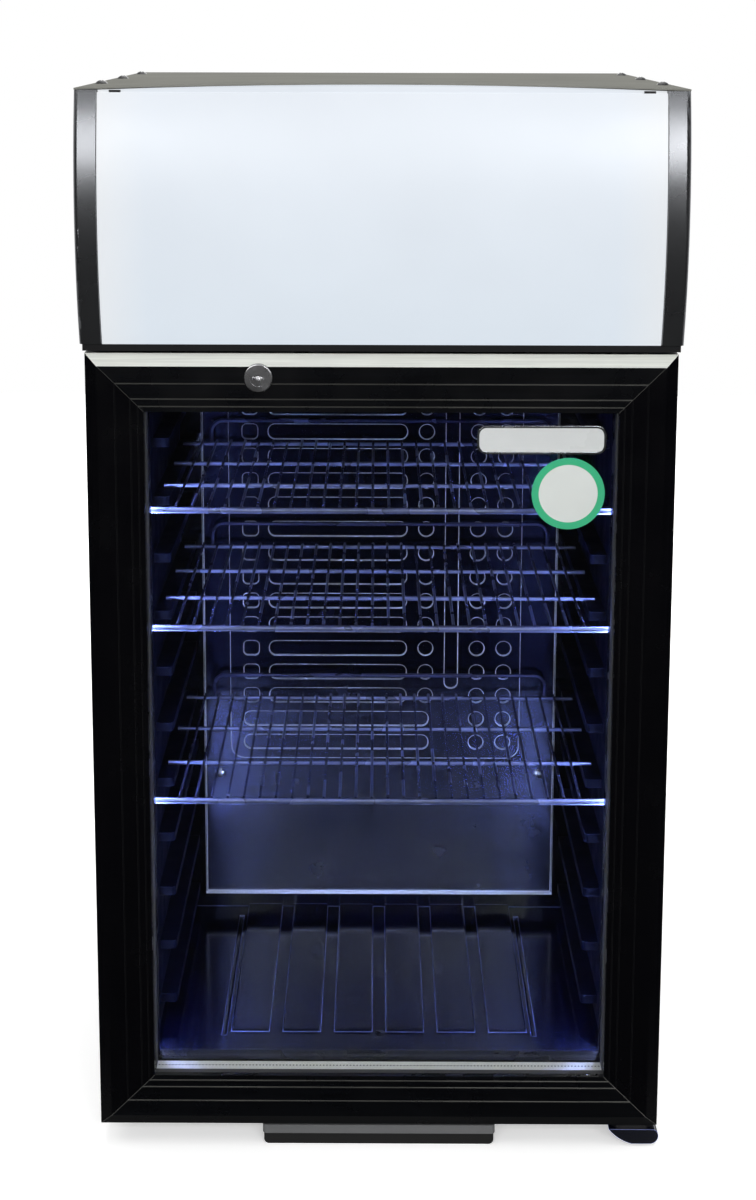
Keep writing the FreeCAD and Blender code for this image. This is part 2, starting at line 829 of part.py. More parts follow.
def lock_plug():
    """Plug with its key slot and the shaft that carries the cam."""
    start = Vector(lock_x, door_front - 1.0, lock_z)
    plug = rod(start, Vector(lock_x, door_front + lock_barrel_length, lock_z), plug_radius)
    shaft = rod(Vector(lock_x, door_front + lock_barrel_length, lock_z),
                Vector(lock_x, door_back + 1 + cam_thick, lock_z), plug_shaft_radius)
    deep = start.y + keyway_depth
    slot = box(lock_x - keyway_half, lock_x + keyway_half, door_front - 2, deep, lock_z - 1.0, lock_z + 1.0)
    notch = rod(Vector(lock_x, door_front - 2, lock_z), Vector(lock_x, deep, lock_z), keyway_half * 0.45)
    return plug.fuse(shaft).removeSplitter().cut([slot, notch])


def lock_cam():
    """Flat lever on the shaft's end, lying along +X when unlocked."""
    y = door_back + 1
    half = cam_width / 2
    tip = cam_length - half
    lever = box(lock_x, lock_x + tip, y, y + cam_thick, lock_z - half, lock_z + half)
    hub = rod(Vector(lock_x, y, lock_z), Vector(lock_x, y + cam_thick, lock_z), half)
    end = rod(Vector(lock_x + tip, y, lock_z), Vector(lock_x + tip, y + cam_thick, lock_z), half)
    hole = rod(Vector(lock_x, y - 1, lock_z), Vector(lock_x, y + cam_thick + 1, lock_z), plug_shaft_radius)
    return lever.fuse([hub, end]).removeSplitter().cut(hole)


def lock_strike():
    """Angle under the canopy tray that the cam catches behind."""
    back = door_back + 1 - cam_gap
    roof = canopy_bottom - tray_sheet
    lip = box(lock_x - 10, lock_x + 10, back - 1.6, back, door_top + 1.5, roof)
    foot = box(lock_x - 10, lock_x + 10, back, back + 12, roof - 1.4, roof)
    return lip.fuse(foot).removeSplitter()


# ---- hinges
def hinge_plate(z0, z1, x0):
    """Plate from the cabinet out over the hinge axis."""
    plate = box(x0, half_width - 1, hinge_y - 12, cabinet_front + 30, z0, z1)
    upright = [e for e in plate.Edges
               if abs(e.tangentAt(e.FirstParameter).z) > 0.99 and e.CenterOfMass.y < hinge_y]
    return plate.makeFillet(8, upright)


def upper_hinge_plate():
    return hinge_plate(cabinet_top, cabinet_top + upper_plate_thick, hinge_x - 13)


def lower_hinge_plate():
    return hinge_plate(cabinet_bottom - lower_plate_thick, cabinet_bottom, hinge_x - 24)


def hinge_pins():
    """Upper pin down into the door, lower pin up into it."""
    length = bush_length - 1
    upper = Part.makeCylinder(pin_radius, length + door_gap, Vector(hinge_x, hinge_y, door_top - length))
    lower = Part.makeCylinder(pin_radius, length + door_gap, Vector(hinge_x, hinge_y, cabinet_bottom))
    return Part.makeCompound([upper, lower])


def hinge_bushes():
    """Plastic bushes in the door for the two pins."""
    bore = pin_radius + pin_clearance
    upper = Part.makeCylinder(bush_radius, bush_length, Vector(hinge_x, hinge_y, door_top - bush_length))
    upper = upper.cut(Part.makeCylinder(bore, bush_length + 2,
                                        Vector(hinge_x, hinge_y, door_top - bush_length - 1)))
    return Part.makeCompound([upper, mirror_door(upper)])


def hinge_screws():
    """Two screws on each hinge plate."""
    heads = []
    for y in (cabinet_front + 9, cabinet_front + 22):
        heads.append(dome_screw(hinge_x, y, cabinet_top + upper_plate_thick, 3.6, 1.8))
        head = dome_screw(hinge_x, y, 0, 3.6, 1.8)
        head = turn(head, Vector(hinge_x, y, 0), Vector(0, 1, 0), 180)
        head.translate(Vector(0, 0, cabinet_bottom - lower_plate_thick))
        heads.append(head)
    return Part.makeCompound(heads)


def lower_hinge_cover():
    """Boat-shaped cap under the lower hinge plate."""
    top = cabinet_bottom - lower_plate_thick
    low = top - hinge_cover_height
    left = hinge_x - 25
    right = half_width + 1.5
    y = hinge_y - 15
    flare = 18.0
    outline = Part.Wire([
        Part.makeLine(Vector(left, y, top), Vector(right - 3, y, top)),
        Part.Arc(Vector(right - 3, y, top), Vector(right, y, top - 6), Vector(right - 6, y, low)).toShape(),
        Part.makeLine(Vector(right - 6, y, low), Vector(left + flare, y, low)),
        Part.Arc(Vector(left + flare, y, low), Vector(left + 8.5, y, low + 4.2),
                 Vector(left, y, top)).toShape(),
    ])
    return Part.Face(outline).extrude(Vector(0, 30, 0))


# ---- support bar and feet
def front_support_bar():
    """Bar under the door with a tongue that bolts under the base pan."""
    front = door_front + bar_setback
    top = cabinet_bottom - 1
    bar = box(-bar_half, bar_half, front, front + bar_depth, bar_pad_height, top)
    ends = [e for e in bar.Edges if abs(e.tangentAt(e.FirstParameter).z) > 0.99]
    bar = bar.makeFillet(3, ends)
    half = bar_half - tongue_inset
    back = cabinet_front + tongue_reach
    tongue = box(-half, half, front + bar_depth - 1, back, top - tongue_thick, top)
    riser = box(-half, half, cabinet_front + 1, back, top - tongue_thick, cabinet_bottom)
    return bar.fuse([tongue, riser]).removeSplitter()


def support_bar_pad():
    """Rubber strip under the support bar."""
    front = door_front + bar_setback
    pad = box(-bar_half + 1, bar_half - 1, front + 0.8, front + bar_depth - 0.8, 0, bar_pad_height)
    low_ends = [e for e in pad.Edges
                if e.CenterOfMass.z < 0.01 and abs(e.CenterOfMass.x) > bar_half - 2]
    return pad.makeFillet(4, low_ends)


def rubber_feet():
    """Two feet near the front corners and two under the rear of the base pan."""
    feet = []
    for x in (foot_inset - half_width, half_width - foot_inset):
        for y in (cabinet_front + foot_front, base_back - foot_back):
            foot = Part.makeCone(foot_radius * 0.85, foot_radius, foot_height, Vector(x, y, 0))
            feet.append(foot)
    return Part.makeCompound(feet)


# ---- canopy
def canopy_tray():
    """Inverted tray on the cabinet top, reaching forward over the door."""
    front = door_front + 2
    roof = box(-half_width - sheet, half_width + sheet, front, side_back, canopy_bottom - tray_sheet,
               canopy_bottom)
    lip_low = door_top + 2
    lip = box(-half_width - sheet, half_width + sheet, front, front + tray_sheet, lip_low, canopy_bottom)
    skirt = box(-half_width - sheet, -half_width, front, side_back, lip_low, canopy_bottom)
    rear = box(-half_width, half_width, side_back - tray_sheet, side_back, cabinet_top, canopy_bottom)
    return roof.fuse([lip, skirt, mirror_x(skirt), rear]).removeSplitter()


def canopy_end_cap():
    """Left end moulding: curved front rib, ledge behind the face panel and flat side wall."""
    inner = canopy_half - cap_width
    ledge = face_thick + cap_proud + 0.3
    rib = curved_slab(-canopy_half, -inner, 0, cap_rib_depth, canopy_bottom, cap_top)
    edge = [e for e in rib.Edges
            if e.CenterOfMass.x < -canopy_half + 0.01 and e.CenterOfMass.y < object_front + cap_rib_depth / 2]
    rib = rib.makeFillet(cap_round, edge)
    seat = curved_slab(-inner, -inner + 6, ledge, ledge + 3, canopy_bottom, canopy_top - 14)
    wall = box(-canopy_half, -canopy_half + cap_wall, door_front + 5, side_back, canopy_bottom, cap_top)
    flange = box(-canopy_half, -inner, door_front + 8, side_back, cap_top - cap_wall, cap_top)
    return rib.fuse([seat, wall, flange]).removeSplitter()


def canopy_face():
    """Curved opal panel with a raised edge that follows the cover's crown."""
    half = canopy_half - cap_width - face_side_gap
    high = canopy_top - face_top_drop
    panel = curved_slab(-half, half, cap_proud, cap_proud + face_thick, canopy_bottom, high)
    back = face_y(high, cap_proud + face_thick)
    arc = crown_arc(back, cap_top - 0.2, half, cover_crown)
    edge = Part.Face(Part.Wire([
        Part.makeLine(Vector(half, back, high), Vector(half, back, cap_top - 0.2)),
        arc,
        Part.makeLine(Vector(-half, back, cap_top - 0.2), Vector(-half, back, high)),
        Part.makeLine(Vector(-half, back, high), Vector(half, back, high)),
    ]))
    low = box(-half, half, back - 1, back + 2.5, high - 8, high)
    return panel.fuse([edge.extrude(Vector(0, 2.5, 0)), low]).removeSplitter()


def crown_arc(y, z, half, crown):
    """Arc across the object that rises by the crown in the middle."""
    return Part.Arc(Vector(half, y, z), Vector(0, y, z + crown), Vector(-half, y, z)).toShape()


def cover_section(y, crown):
    """Closed wire across the cover at one depth."""
    low = cap_top
    high = canopy_top
    half = canopy_half
    right = Part.makeLine(Vector(half, y, low), Vector(half, y, high))
    left = Part.makeLine(Vector(-half, y, high), Vector(-half, y, low))
    return Part.Wire([crown_arc(y, low, half, crown), right, crown_arc(y, high, half, crown), left])


def canopy_top_cover():
    """Thin cover whose front edge is crowned and whose rear edge is all but flat."""
    front = face_y(canopy_top, 0) + 1
    return Part.makeLoft([cover_section(front, cover_crown), cover_section(side_back, 0.02)], True, True)


def cover_height(x, y):
    """Height of the crowned cover at the inner edge of a screw head."""
    across = 1 - ((abs(x) - screw_head_radius) / canopy_half) ** 2
    along = (side_back - y) / (side_back - object_front)
    return canopy_top + cover_crown * across * along


def cover_screws():
    """Three dome screws along each side of the cover."""
    heads = []
    first = door_front + screw_front_setback
    step = (side_back - screw_rear_inset - first) / (screw_rows - 1)
    for x in (screw_side_inset - canopy_half, canopy_half - screw_side_inset):
        for row in range(screw_rows):
            y = first + row * step
            heads.append(dome_screw(x, y, cover_height(x, y), screw_head_radius, screw_head_height))
    return Part.makeCompound(heads)


def cover_clips():
    """Two small clips that hold the face panel's top edge."""
    y = face_y(canopy_top - face_top_drop, cap_proud) + 0.2
    z = canopy_top - face_top_drop
    x = canopy_half - clip_margin
    left = box(-x - clip_half, -x + clip_half, y, y + 3.5, z, z + 1.6)
    return Part.makeCompound([left, mirror_x(left)])


def canopy_back_panel():
    """Rear sheet of the canopy with vent slots and the switch opening."""
    half = canopy_half - cap_wall
    panel = box(-half, half, side_back - cover_sheet, side_back, canopy_bottom, cap_top - cap_wall)
    cuts = []
    for side in (-1, 1):
        for step in range(6):
            x = side * 20 + side * step * 12
            cuts.append(slot_prism(x - 2.5, x + 2.5, canopy_top - 70, canopy_top - 30,
                                   side_back - 5, side_back + 5, 2.4))
    cuts.append(box(switch_x - switch_half_x, switch_x + switch_half_x, side_back - 5, side_back + 5,
                    switch_z - switch_half_z, switch_z + switch_half_z))
    return panel.cut(cuts)


def rocker_pin(half_length, radius):
    """Bar along the rocker's axis."""
    y = side_back - rocker_pivot_depth
    start = Vector(switch_x - half_length, y, switch_z)
    return rod(start, start + Vector(2 * half_length, 0, 0), radius)


def switch_housing():
    """Snap-in frame of the lamp switch, open at the back of the canopy."""
    body = box(switch_x - switch_half_x, switch_x + switch_half_x, side_back - 16, side_back,
               switch_z - switch_half_z, switch_z + switch_half_z)
    bezel = box(switch_x - switch_half_x - 1.5, switch_x + switch_half_x + 1.5, side_back, side_back + 1.6,
                switch_z - switch_half_z - 1.5, switch_z + switch_half_z + 1.5)
    pocket_x = switch_half_x - switch_wall
    pocket_z = switch_half_z - switch_wall
    pocket = box(switch_x - pocket_x, switch_x + pocket_x, side_back - 9, side_back + 5,
                 switch_z - pocket_z, switch_z + pocket_z)
    seat = rocker_pin(pocket_x + rocker_pin_reach + pin_clearance, rocker_pin_radius + pin_clearance)
    return body.fuse(bezel).removeSplitter().cut([pocket, seat])


def switch_rocker():
    """Rocker with a shallow vee face, tipped one way at rest."""
    half_x = switch_half_x - switch_wall - rocker_gap
    half_z = switch_half_z - switch_wall - rocker_gap - 0.8
    front = side_back + 0.4
    outline = polygon([Vector(switch_x - half_x, front - 5.5, switch_z - half_z * 0.55),
                       Vector(switch_x - half_x, front + 1.2, switch_z - half_z),
                       Vector(switch_x - half_x, front, switch_z),
                       Vector(switch_x - half_x, front + 1.2, switch_z + half_z),
                       Vector(switch_x - half_x, front - 5.5, switch_z + half_z * 0.55)])
    rocker = outline.extrude(Vector(2 * half_x, 0, 0))
    pivot = Vector(switch_x, side_back - rocker_pivot_depth, switch_z)
    pin = rocker_pin(switch_half_x - switch_wall + rocker_pin_reach, rocker_pin_radius)
    return turn(rocker, pivot, Vector(1, 0, 0), -rocker_throw / 2).fuse(pin).removeSplitter()


def light_reflector():
    """White reflector standing on the tray behind the face panel."""
    half = canopy_half - reflector_margin
    y = reflector_y
    upright = box(-half, half, y, y + 1, canopy_bottom, canopy_top - 14)
    foot = box(-half, half, y + 1, y + 22, canopy_bottom, canopy_bottom + 1)
    return upright.fuse(foot).removeSplitter()


def canopy_light_boards():
    """Two long circuit boards with their lamps, on the front of the reflector."""
    half = canopy_half - board_margin
    front = reflector_y - board_thick
    lamp_count = int(2 * (half - lamp_half) / lamp_pitch) + 1
    boards = []
    for z in (canopy_bottom + board_inset, canopy_top - board_inset):
        board = box(-half, half, front, reflector_y, z - board_half_height, z + board_half_height)
        lamps = []
        for index in range(lamp_count):
            x = (index - (lamp_count - 1) / 2) * lamp_pitch
            lamps.append(box(x - lamp_half, x + lamp_half, front - board_thick, front,
                             z - lamp_half, z + lamp_half))
        boards.append(board.fuse(lamps).removeSplitter())
    return Part.makeCompound(boards)


def light_driver():
    y = reflector_y + driver_setback
    body = box(-driver_half, driver_half, y, y + driver_depth, canopy_bottom, canopy_bottom + driver_height)
    return body.makeFillet(3, [e for e in body.Edges if abs(e.tangentAt(e.FirstParameter).z) > 0.99])


# ---- cooling machinery
def compressor_shell():
    """Hermetic shell with an oblong plan and rounded top and bottom."""
    straight = compressor_half_x - compressor_half_y
    body = box(compressor_x - straight, compressor_x + straight, compressor_y - compressor_half_y,
               compressor_y + compressor_half_y, mount_top, compressor_top)
    ends = [Part.makeCylinder(compressor_half_y, compressor_height, Vector(compressor_x + side * straight,
                                                                            compressor_y, mount_top))
            for side in (-1, 1)]
    shell = body.fuse(ends).removeSplitter()
    rims = [e for e in shell.Edges if abs(e.CenterOfMass.z - mount_top) < 0.01
            or abs(e.CenterOfMass.z - compressor_top) < 0.01]
    return shell.makeFillet(22, rims)


def compressor_mount():
    plate = box(compressor_x - 75, compressor_x + 75, compressor_y - 38, compressor_y + 38,
                mount_top - mount_thick, mount_top)
    return plate


def compressor_grommets():
    grommets = []
    for x in (compressor_x - 64, compressor_x + 64):
        for y in (compressor_y - 28, compressor_y + 28):
            grommets.append(Part.makeCylinder(9, grommet_height, Vector(x, y, cabinet_bottom + sheet)))
    return Part.makeCompound(grommets)


def relay_cover():
    """Electrical box on the end of the shell."""
    x = compressor_x + compressor_half_x + 0.3
    return box(x, x + 26, compressor_y - 20, compressor_y + 20, mount_top + 40, mount_top + 92)


def condenser():
    """Serpentine tube with upright wires welded across its rear side."""
    end = condenser_half + condenser_lead
    corners = [Vector(-end, condenser_y, condenser_low + (condenser_runs - 1) * condenser_pitch)]
    for run in range(condenser_runs - 1):
        side = 1 if run % 2 == 0 else -1
        high = condenser_low + (condenser_runs - 1 - run) * condenser_pitch
        corners.append(Vector(side * condenser_half, condenser_y, high))
        corners.append(Vector(side * condenser_half, condenser_y, high - condenser_pitch))
    corners.append(Vector(end, condenser_y, condenser_low))
    tube = bent_tube(corners, tube_radius, condenser_pitch * 0.3)
    wire_y = condenser_y + tube_radius + wire_radius - 0.3
    top = condenser_low + (condenser_runs - 1) * condenser_pitch + 10
    wire_spaces = int(2 * (condenser_half - wire_pitch) / wire_pitch)
    wires = []
    for index in range(wire_spaces + 1):
        x = (index - wire_spaces / 2) * wire_pitch
        wires.append(rod(Vector(x, wire_y, condenser_low - 10), Vector(x, wire_y, top), wire_radius))
    return tube.fuse(wires)


def condenser_clips():
    """Four stand-off clips between the rear sheet and the condenser's tube."""
    blocks = []
    for x in (clip_inset - condenser_half, condenser_half - clip_inset):
        for run in (1, condenser_runs - 2):
            z = condenser_low + run * condenser_pitch
            blocks.append(box(x - 6, x + 6, rear_sheet_back, condenser_y - tube_radius - 0.2, z - 5, z + 5))
    return Part.makeCompound(blocks)


def discharge_tube():
    """Hot gas tube from the shell's top to the condenser's upper end."""
    side = -condenser_half - 28
    x = compressor_x - 20
    high = compressor_top + 22
    inlet = condenser_low + (condenser_runs - 1) * condenser_pitch
    return bent_tube([Vector(x, compressor_y, compressor_top), Vector(x, compressor_y, high),
                      Vector(side, compressor_y, high), Vector(side, condenser_y, high),
                      Vector(side, condenser_y, inlet),
                      Vector(-condenser_half - condenser_lead, condenser_y, inlet)], tube_radius, 9)


def suction_tube():
    """Return tube from the insulation to the shell's top."""
    x = compressor_x + 30
    high = compressor_top + 20
    return bent_tube([Vector(x, compressor_y, compressor_top), Vector(x, compressor_y, high),
                      Vector(x, rear_sheet_back, high)], tube_radius + 0.8, 12)


def filter_drier():
    """Copper drier hanging below the condenser's outlet, with its inlet and capillary."""
    x = condenser_half + 27
    top = condenser_low - 20
    low = top - 80
    body = Part.makeCylinder(8, 64, Vector(x, condenser_y, low + 8))
    upper = Part.makeCone(8, tube_radius, 8, Vector(x, condenser_y, top - 8))
    lower = Part.makeCone(tube_radius, 8, 8, Vector(x, condenser_y, low))
    inlet = bent_tube([Vector(condenser_half + condenser_lead, condenser_y, condenser_low),
                       Vector(x, condenser_y, condenser_low), Vector(x, condenser_y, top)], tube_radius, 9)
    outlet = bent_tube([Vector(x, condenser_y, low), Vector(x, condenser_y, low - 20),
                        Vector(x, rear_sheet_back, low - 20)], 1.2, 6)
    return body.fuse([upper, lower, inlet, outlet]).removeSplitter()


def evaporation_pan():
    """Open pan on the base under the end of the drain hose."""
    x0 = drain_x - pan_lead
    x1 = gland_x - pan_gland_gap
    y0 = rear_sheet_back + pan_gap
    y1 = base_back - pan_gap - 2
    low = cabinet_bottom + sheet
    outer = box(x0, x1, y0, y1, low, low + pan_rim)
    return outer.cut(box(x0 + pan_wall, x1 - pan_wall, y0 + pan_wall, y1 - pan_wall,
                         low + pan_wall, low + pan_rim + 1))


def cord_gland():
    """Bush in the rear wall of the base where the mains cord would come out."""
    start = Vector(gland_x, base_back - 8, gland_z)
    body = rod(start, Vector(gland_x, base_back, gland_z), gland_radius - 0.05)
    collar = rod(start, Vector(gland_x, base_back - sheet, gland_z), gland_radius + 2.5)
    hole = rod(start - Vector(0, 2, 0), Vector(gland_x, base_back + 2, gland_z), 4.0)
    return body.fuse(collar).removeSplitter().cut(hole)


# ---- thermostat
def thermostat_housing():
    """Box under the ceiling, bored for the knob's shaft."""
    body = box(thermostat_x - thermostat_half, thermostat_x + thermostat_half, thermostat_front,
               thermostat_back, ceiling_z - thermostat_height, ceiling_z)
    bore = rod(Vector(thermostat_x, thermostat_front - 1, knob_z),
               Vector(thermostat_x, thermostat_front + 14, knob_z), pin_radius + pin_clearance)
    return body.cut(bore)


def thermostat_knob():
    """Knob with a finger bar, and its shaft."""
    back = thermostat_front - knob_gap
    disc = rod(Vector(thermostat_x, back - 5, knob_z), Vector(thermostat_x, back, knob_z), knob_radius)
    grip = box(thermostat_x - 3, thermostat_x + 3, back - knob_length, back - 5,
               knob_z - knob_radius + 2, knob_z + knob_radius - 2)
    shaft = rod(Vector(thermostat_x, back, knob_z), Vector(thermostat_x, thermostat_front + 12, knob_z),
                pin_radius)
    return disc.fuse([grip, shaft]).removeSplitter()


def shelf(level):
    return Part.makeCompound([wire_shelf(level), shelf_back_rail(level)])


def join(*groups):
    """One node that holds several separate solids."""
    return Part.makeCompound([solid for group in groups for solid in group.Solids])


def build():
    """Name and shape of every piece."""
    pieces = {
        "side_panel_left": side_panel(),
        "side_panel_right": mirror_x(side_panel()),
        "cabinet_top_panel": cabinet_top_panel(),
        "base_pan": base_pan(),
        "rear_sheet": rear_sheet(),
        "front_frame_strips": front_frame_strips(),
        "insulation_foam": insulation_foam(),
        "liner_wall_left": liner_side_wall(),
        "liner_wall_right": mirror_x(liner_side_wall()),
        "liner_back_wall": liner_back_panel(),
        "liner_ceiling": liner_ceiling(),
        "liner_floor": liner_floor(),
        "drain_line": join(drain_fitting(), drain_tube()),
        "interior_lights": interior_lights(),
        "evaporator_plate": evaporator_plate(),
        "evaporator_standoffs": evaporator_standoffs(),
        "evaporator_screws": evaporator_screws(),
        "thermostat_housing": thermostat_housing(),
        "thermostat_knob": thermostat_knob(),
        "door_top_rail": door_top_rail(),
        "door_bottom_rail": door_bottom_rail(),
        "door_stiles": join(door_stile(), mirror_x(door_stile())),
        "door_top_trim": door_top_trim(),
        "door_corner_keys": corner_keys(),
        "outer_pane": pane(outer_pane_front),
        "inner_pane": pane(inner_pane_front),
        "glass_spacer": glass_spacer(),
        "door_gasket": door_gasket(),
        "lock_barrel": join(lock_barrel(), lock_nut()),
        "lock_plug": lock_plug(),
        "lock_cam": lock_cam(),
        "lock_strike": lock_strike(),
        "hinge_plates": join(upper_hinge_plate(), lower_hinge_plate()),
        "hinge_pins": hinge_pins(),
        "hinge_bushes": hinge_bushes(),
        "hinge_screws": hinge_screws(),
        "lower_hinge_cover": lower_hinge_cover(),
        "front_support_bar": front_support_bar(),
        "rubber_feet": join(support_bar_pad(), rubber_feet(), compressor_grommets()),
        "canopy_tray": canopy_tray(),
        "canopy_end_caps": join(canopy_end_cap(), mirror_x(canopy_end_cap())),
        "canopy_face": canopy_face(),
        "canopy_top_cover": canopy_top_cover(),
        "cover_fixings": join(cover_screws(), cover_clips()),
        "canopy_back_panel": canopy_back_panel(),
        "switch_housing": switch_housing(),
        "switch_rocker": switch_rocker(),
        "light_reflector": light_reflector(),
        "canopy_light_boards": canopy_light_boards(),
        "light_driver": light_driver(),
        "compressor_shell": compressor_shell(),
        "compressor_mount": compressor_mount(),
        "relay_cover": relay_cover(),
        "condenser": join(condenser(), condenser_clips()),
        "cooling_tubes": join(discharge_tube(), suction_tube(), filter_drier()),
        "evaporation_pan": evaporation_pan(),
        "cord_gland": cord_gland(),
    }
    for level in shelf_drops:
        pieces["shelf_" + level] = shelf(level)
    return pieces


if __name__ == "__main__":
    os.makedirs("parts", exist_ok=True)
    for name, shape in build().items():
        shape.exportStep("parts/" + name + ".step")
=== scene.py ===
"""Glass door merchandiser: finishes, blank labels, room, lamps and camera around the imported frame.

Metres, Z up, the front faces -Y. Finishes that follow a piece take its place from the frame's own boxes.
"""
import json
import math

import bmesh
import bpy
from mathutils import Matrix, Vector


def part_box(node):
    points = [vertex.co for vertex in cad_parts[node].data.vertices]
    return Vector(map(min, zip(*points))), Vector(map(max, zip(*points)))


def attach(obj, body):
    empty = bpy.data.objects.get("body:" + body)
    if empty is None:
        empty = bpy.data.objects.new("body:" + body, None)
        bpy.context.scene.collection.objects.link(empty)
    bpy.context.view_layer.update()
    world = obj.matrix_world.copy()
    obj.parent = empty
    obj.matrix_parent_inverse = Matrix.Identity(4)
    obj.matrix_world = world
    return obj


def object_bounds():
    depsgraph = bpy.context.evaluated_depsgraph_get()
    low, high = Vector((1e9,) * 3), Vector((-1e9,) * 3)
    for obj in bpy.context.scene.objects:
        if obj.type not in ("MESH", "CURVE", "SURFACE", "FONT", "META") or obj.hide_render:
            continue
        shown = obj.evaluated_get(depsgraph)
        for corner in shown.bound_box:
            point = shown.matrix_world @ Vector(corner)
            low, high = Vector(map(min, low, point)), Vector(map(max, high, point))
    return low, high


MM = 0.001

# Camera at the photograph's viewpoint; lens and shift go with the sensor's long side
SENSOR_MM = 36.0
LENS_MM = 61.65
SHIFT = (0.0061667, -0.1833333)
CAMERA_PLACE = (-3.3 * MM, -1688 * MM, 861 * MM)
CAMERA_TILT = math.radians(9.99)
CAMERA_YAW = math.radians(0.20)
CAMERA_ROLL = math.radians(-0.14)
CLIP_START = 10 * MM

# Lamps: name, place, width and height, power, colour. All point at the target.
TARGET = Vector((0, 0, 0.42))
LAMPS = (
    ("front_left", (-0.88, -2.9, 1.62), (0.95, 0.7), 20, (1.0, 1.0, 1.0)),
    ("front_right", (0.88, -2.9, 1.62), (0.95, 0.7), 23, (1.0, 1.0, 1.0)),
    ("key", (-1.8, -0.9, 2.2), (1.2, 1.2), 10, (1.0, 0.99, 0.97)),
    ("fill", (1.9, -0.8, 1.8), (1.2, 1.2), 8, (0.98, 0.99, 1.0)),
    ("top", (0.0, 0.5, 2.6), (1.6, 1.6), 22, (1.0, 1.0, 1.0)),
    ("back", (0.4, 2.2, 1.6), (1.4, 1.4), 22, (1.0, 1.0, 1.0)),
)

# Room: light on matt surfaces from all round, and what gloss sees in front, behind and above
AMBIENT = 0.32
FRONT_DARK = 0.01
FLOOR_BEHIND = 0.8
SKY_BEHIND = 0.9
SKY_ABOVE = 0.35
SKY_BEHIND_FROM = (-0.15, 0.35)
SKY_ABOVE_FROM = (0.55, 0.95)

# Floor: half its side, where it turns pale to gloss past the object's front, and how it fades to white
FLOOR_REACH = 3.0
FLOOR_TURN = (-0.05, 0.25)
FLOOR_GLOW = (0.45, 1.0)
FLOOR_FADE = (0.7, 1.9)

# Blank labels on the outer pane: left, right, bottom and top of the plate, then the round sticker
NAME_PLATE = (70 * MM, 164 * MM, 548 * MM, 569 * MM)
PLATE_RADIUS = 7 * MM
PLATE_FRAME = 1.6 * MM
LABEL_THICKNESS = 0.6 * MM
FIELD_SHARE = 0.7
DISC_CENTRE = (137 * MM, 518.5 * MM)
DISC_RADIUS = 26.8 * MM
DISC_RIM = 5.2 * MM
STICKER_THICKNESS = 0.2 * MM
GLUE = 0.03 * MM
CORNER_STEPS = 12

# Painted highlight lines on the door's rails where their grooves' edges catch the light, from the outer edge
# inwards, and half of a line's full and faded width
RAIL_HIGHLIGHT_LINES = (21.7 * MM, 33.0 * MM, 38.5 * MM)
RAIL_HIGHLIGHT_HALF = (0.3 * MM, 0.6 * MM)
MITRE_LINE_HALF = (0.15 * MM, 0.45 * MM)

# Height of a shelf's rods above its underside, below which the bars carry a painted highlight, and how far
# the painted sheen on an end cap's front runs back
ROD_LEVEL = 4.7 * MM
ROD_BLEND = 0.3 * MM
SHEEN_DEPTH = 70 * MM
SHEEN_BLEND = 12 * MM

# Share of the sign panel's brightness that comes from the lamps behind it, and its warm side margins
PANEL_GLOW = 0.80
PANEL_MARGIN = 34 * MM

# Light strips: emission strength and the spacing of the lamps behind the cover
STRIP_STRENGTH = 105.0
STRIP_PITCH = 16 * MM

# Spacer between the panes: pitch of its drying holes, and a hole's full and faded radius
HOLE_PITCH = 2.6 * MM
HOLE_RADII = (0.55 * MM, 0.8 * MM)

PANE_IOR = 1.35


# ---------------------------------------------------------------- node helper

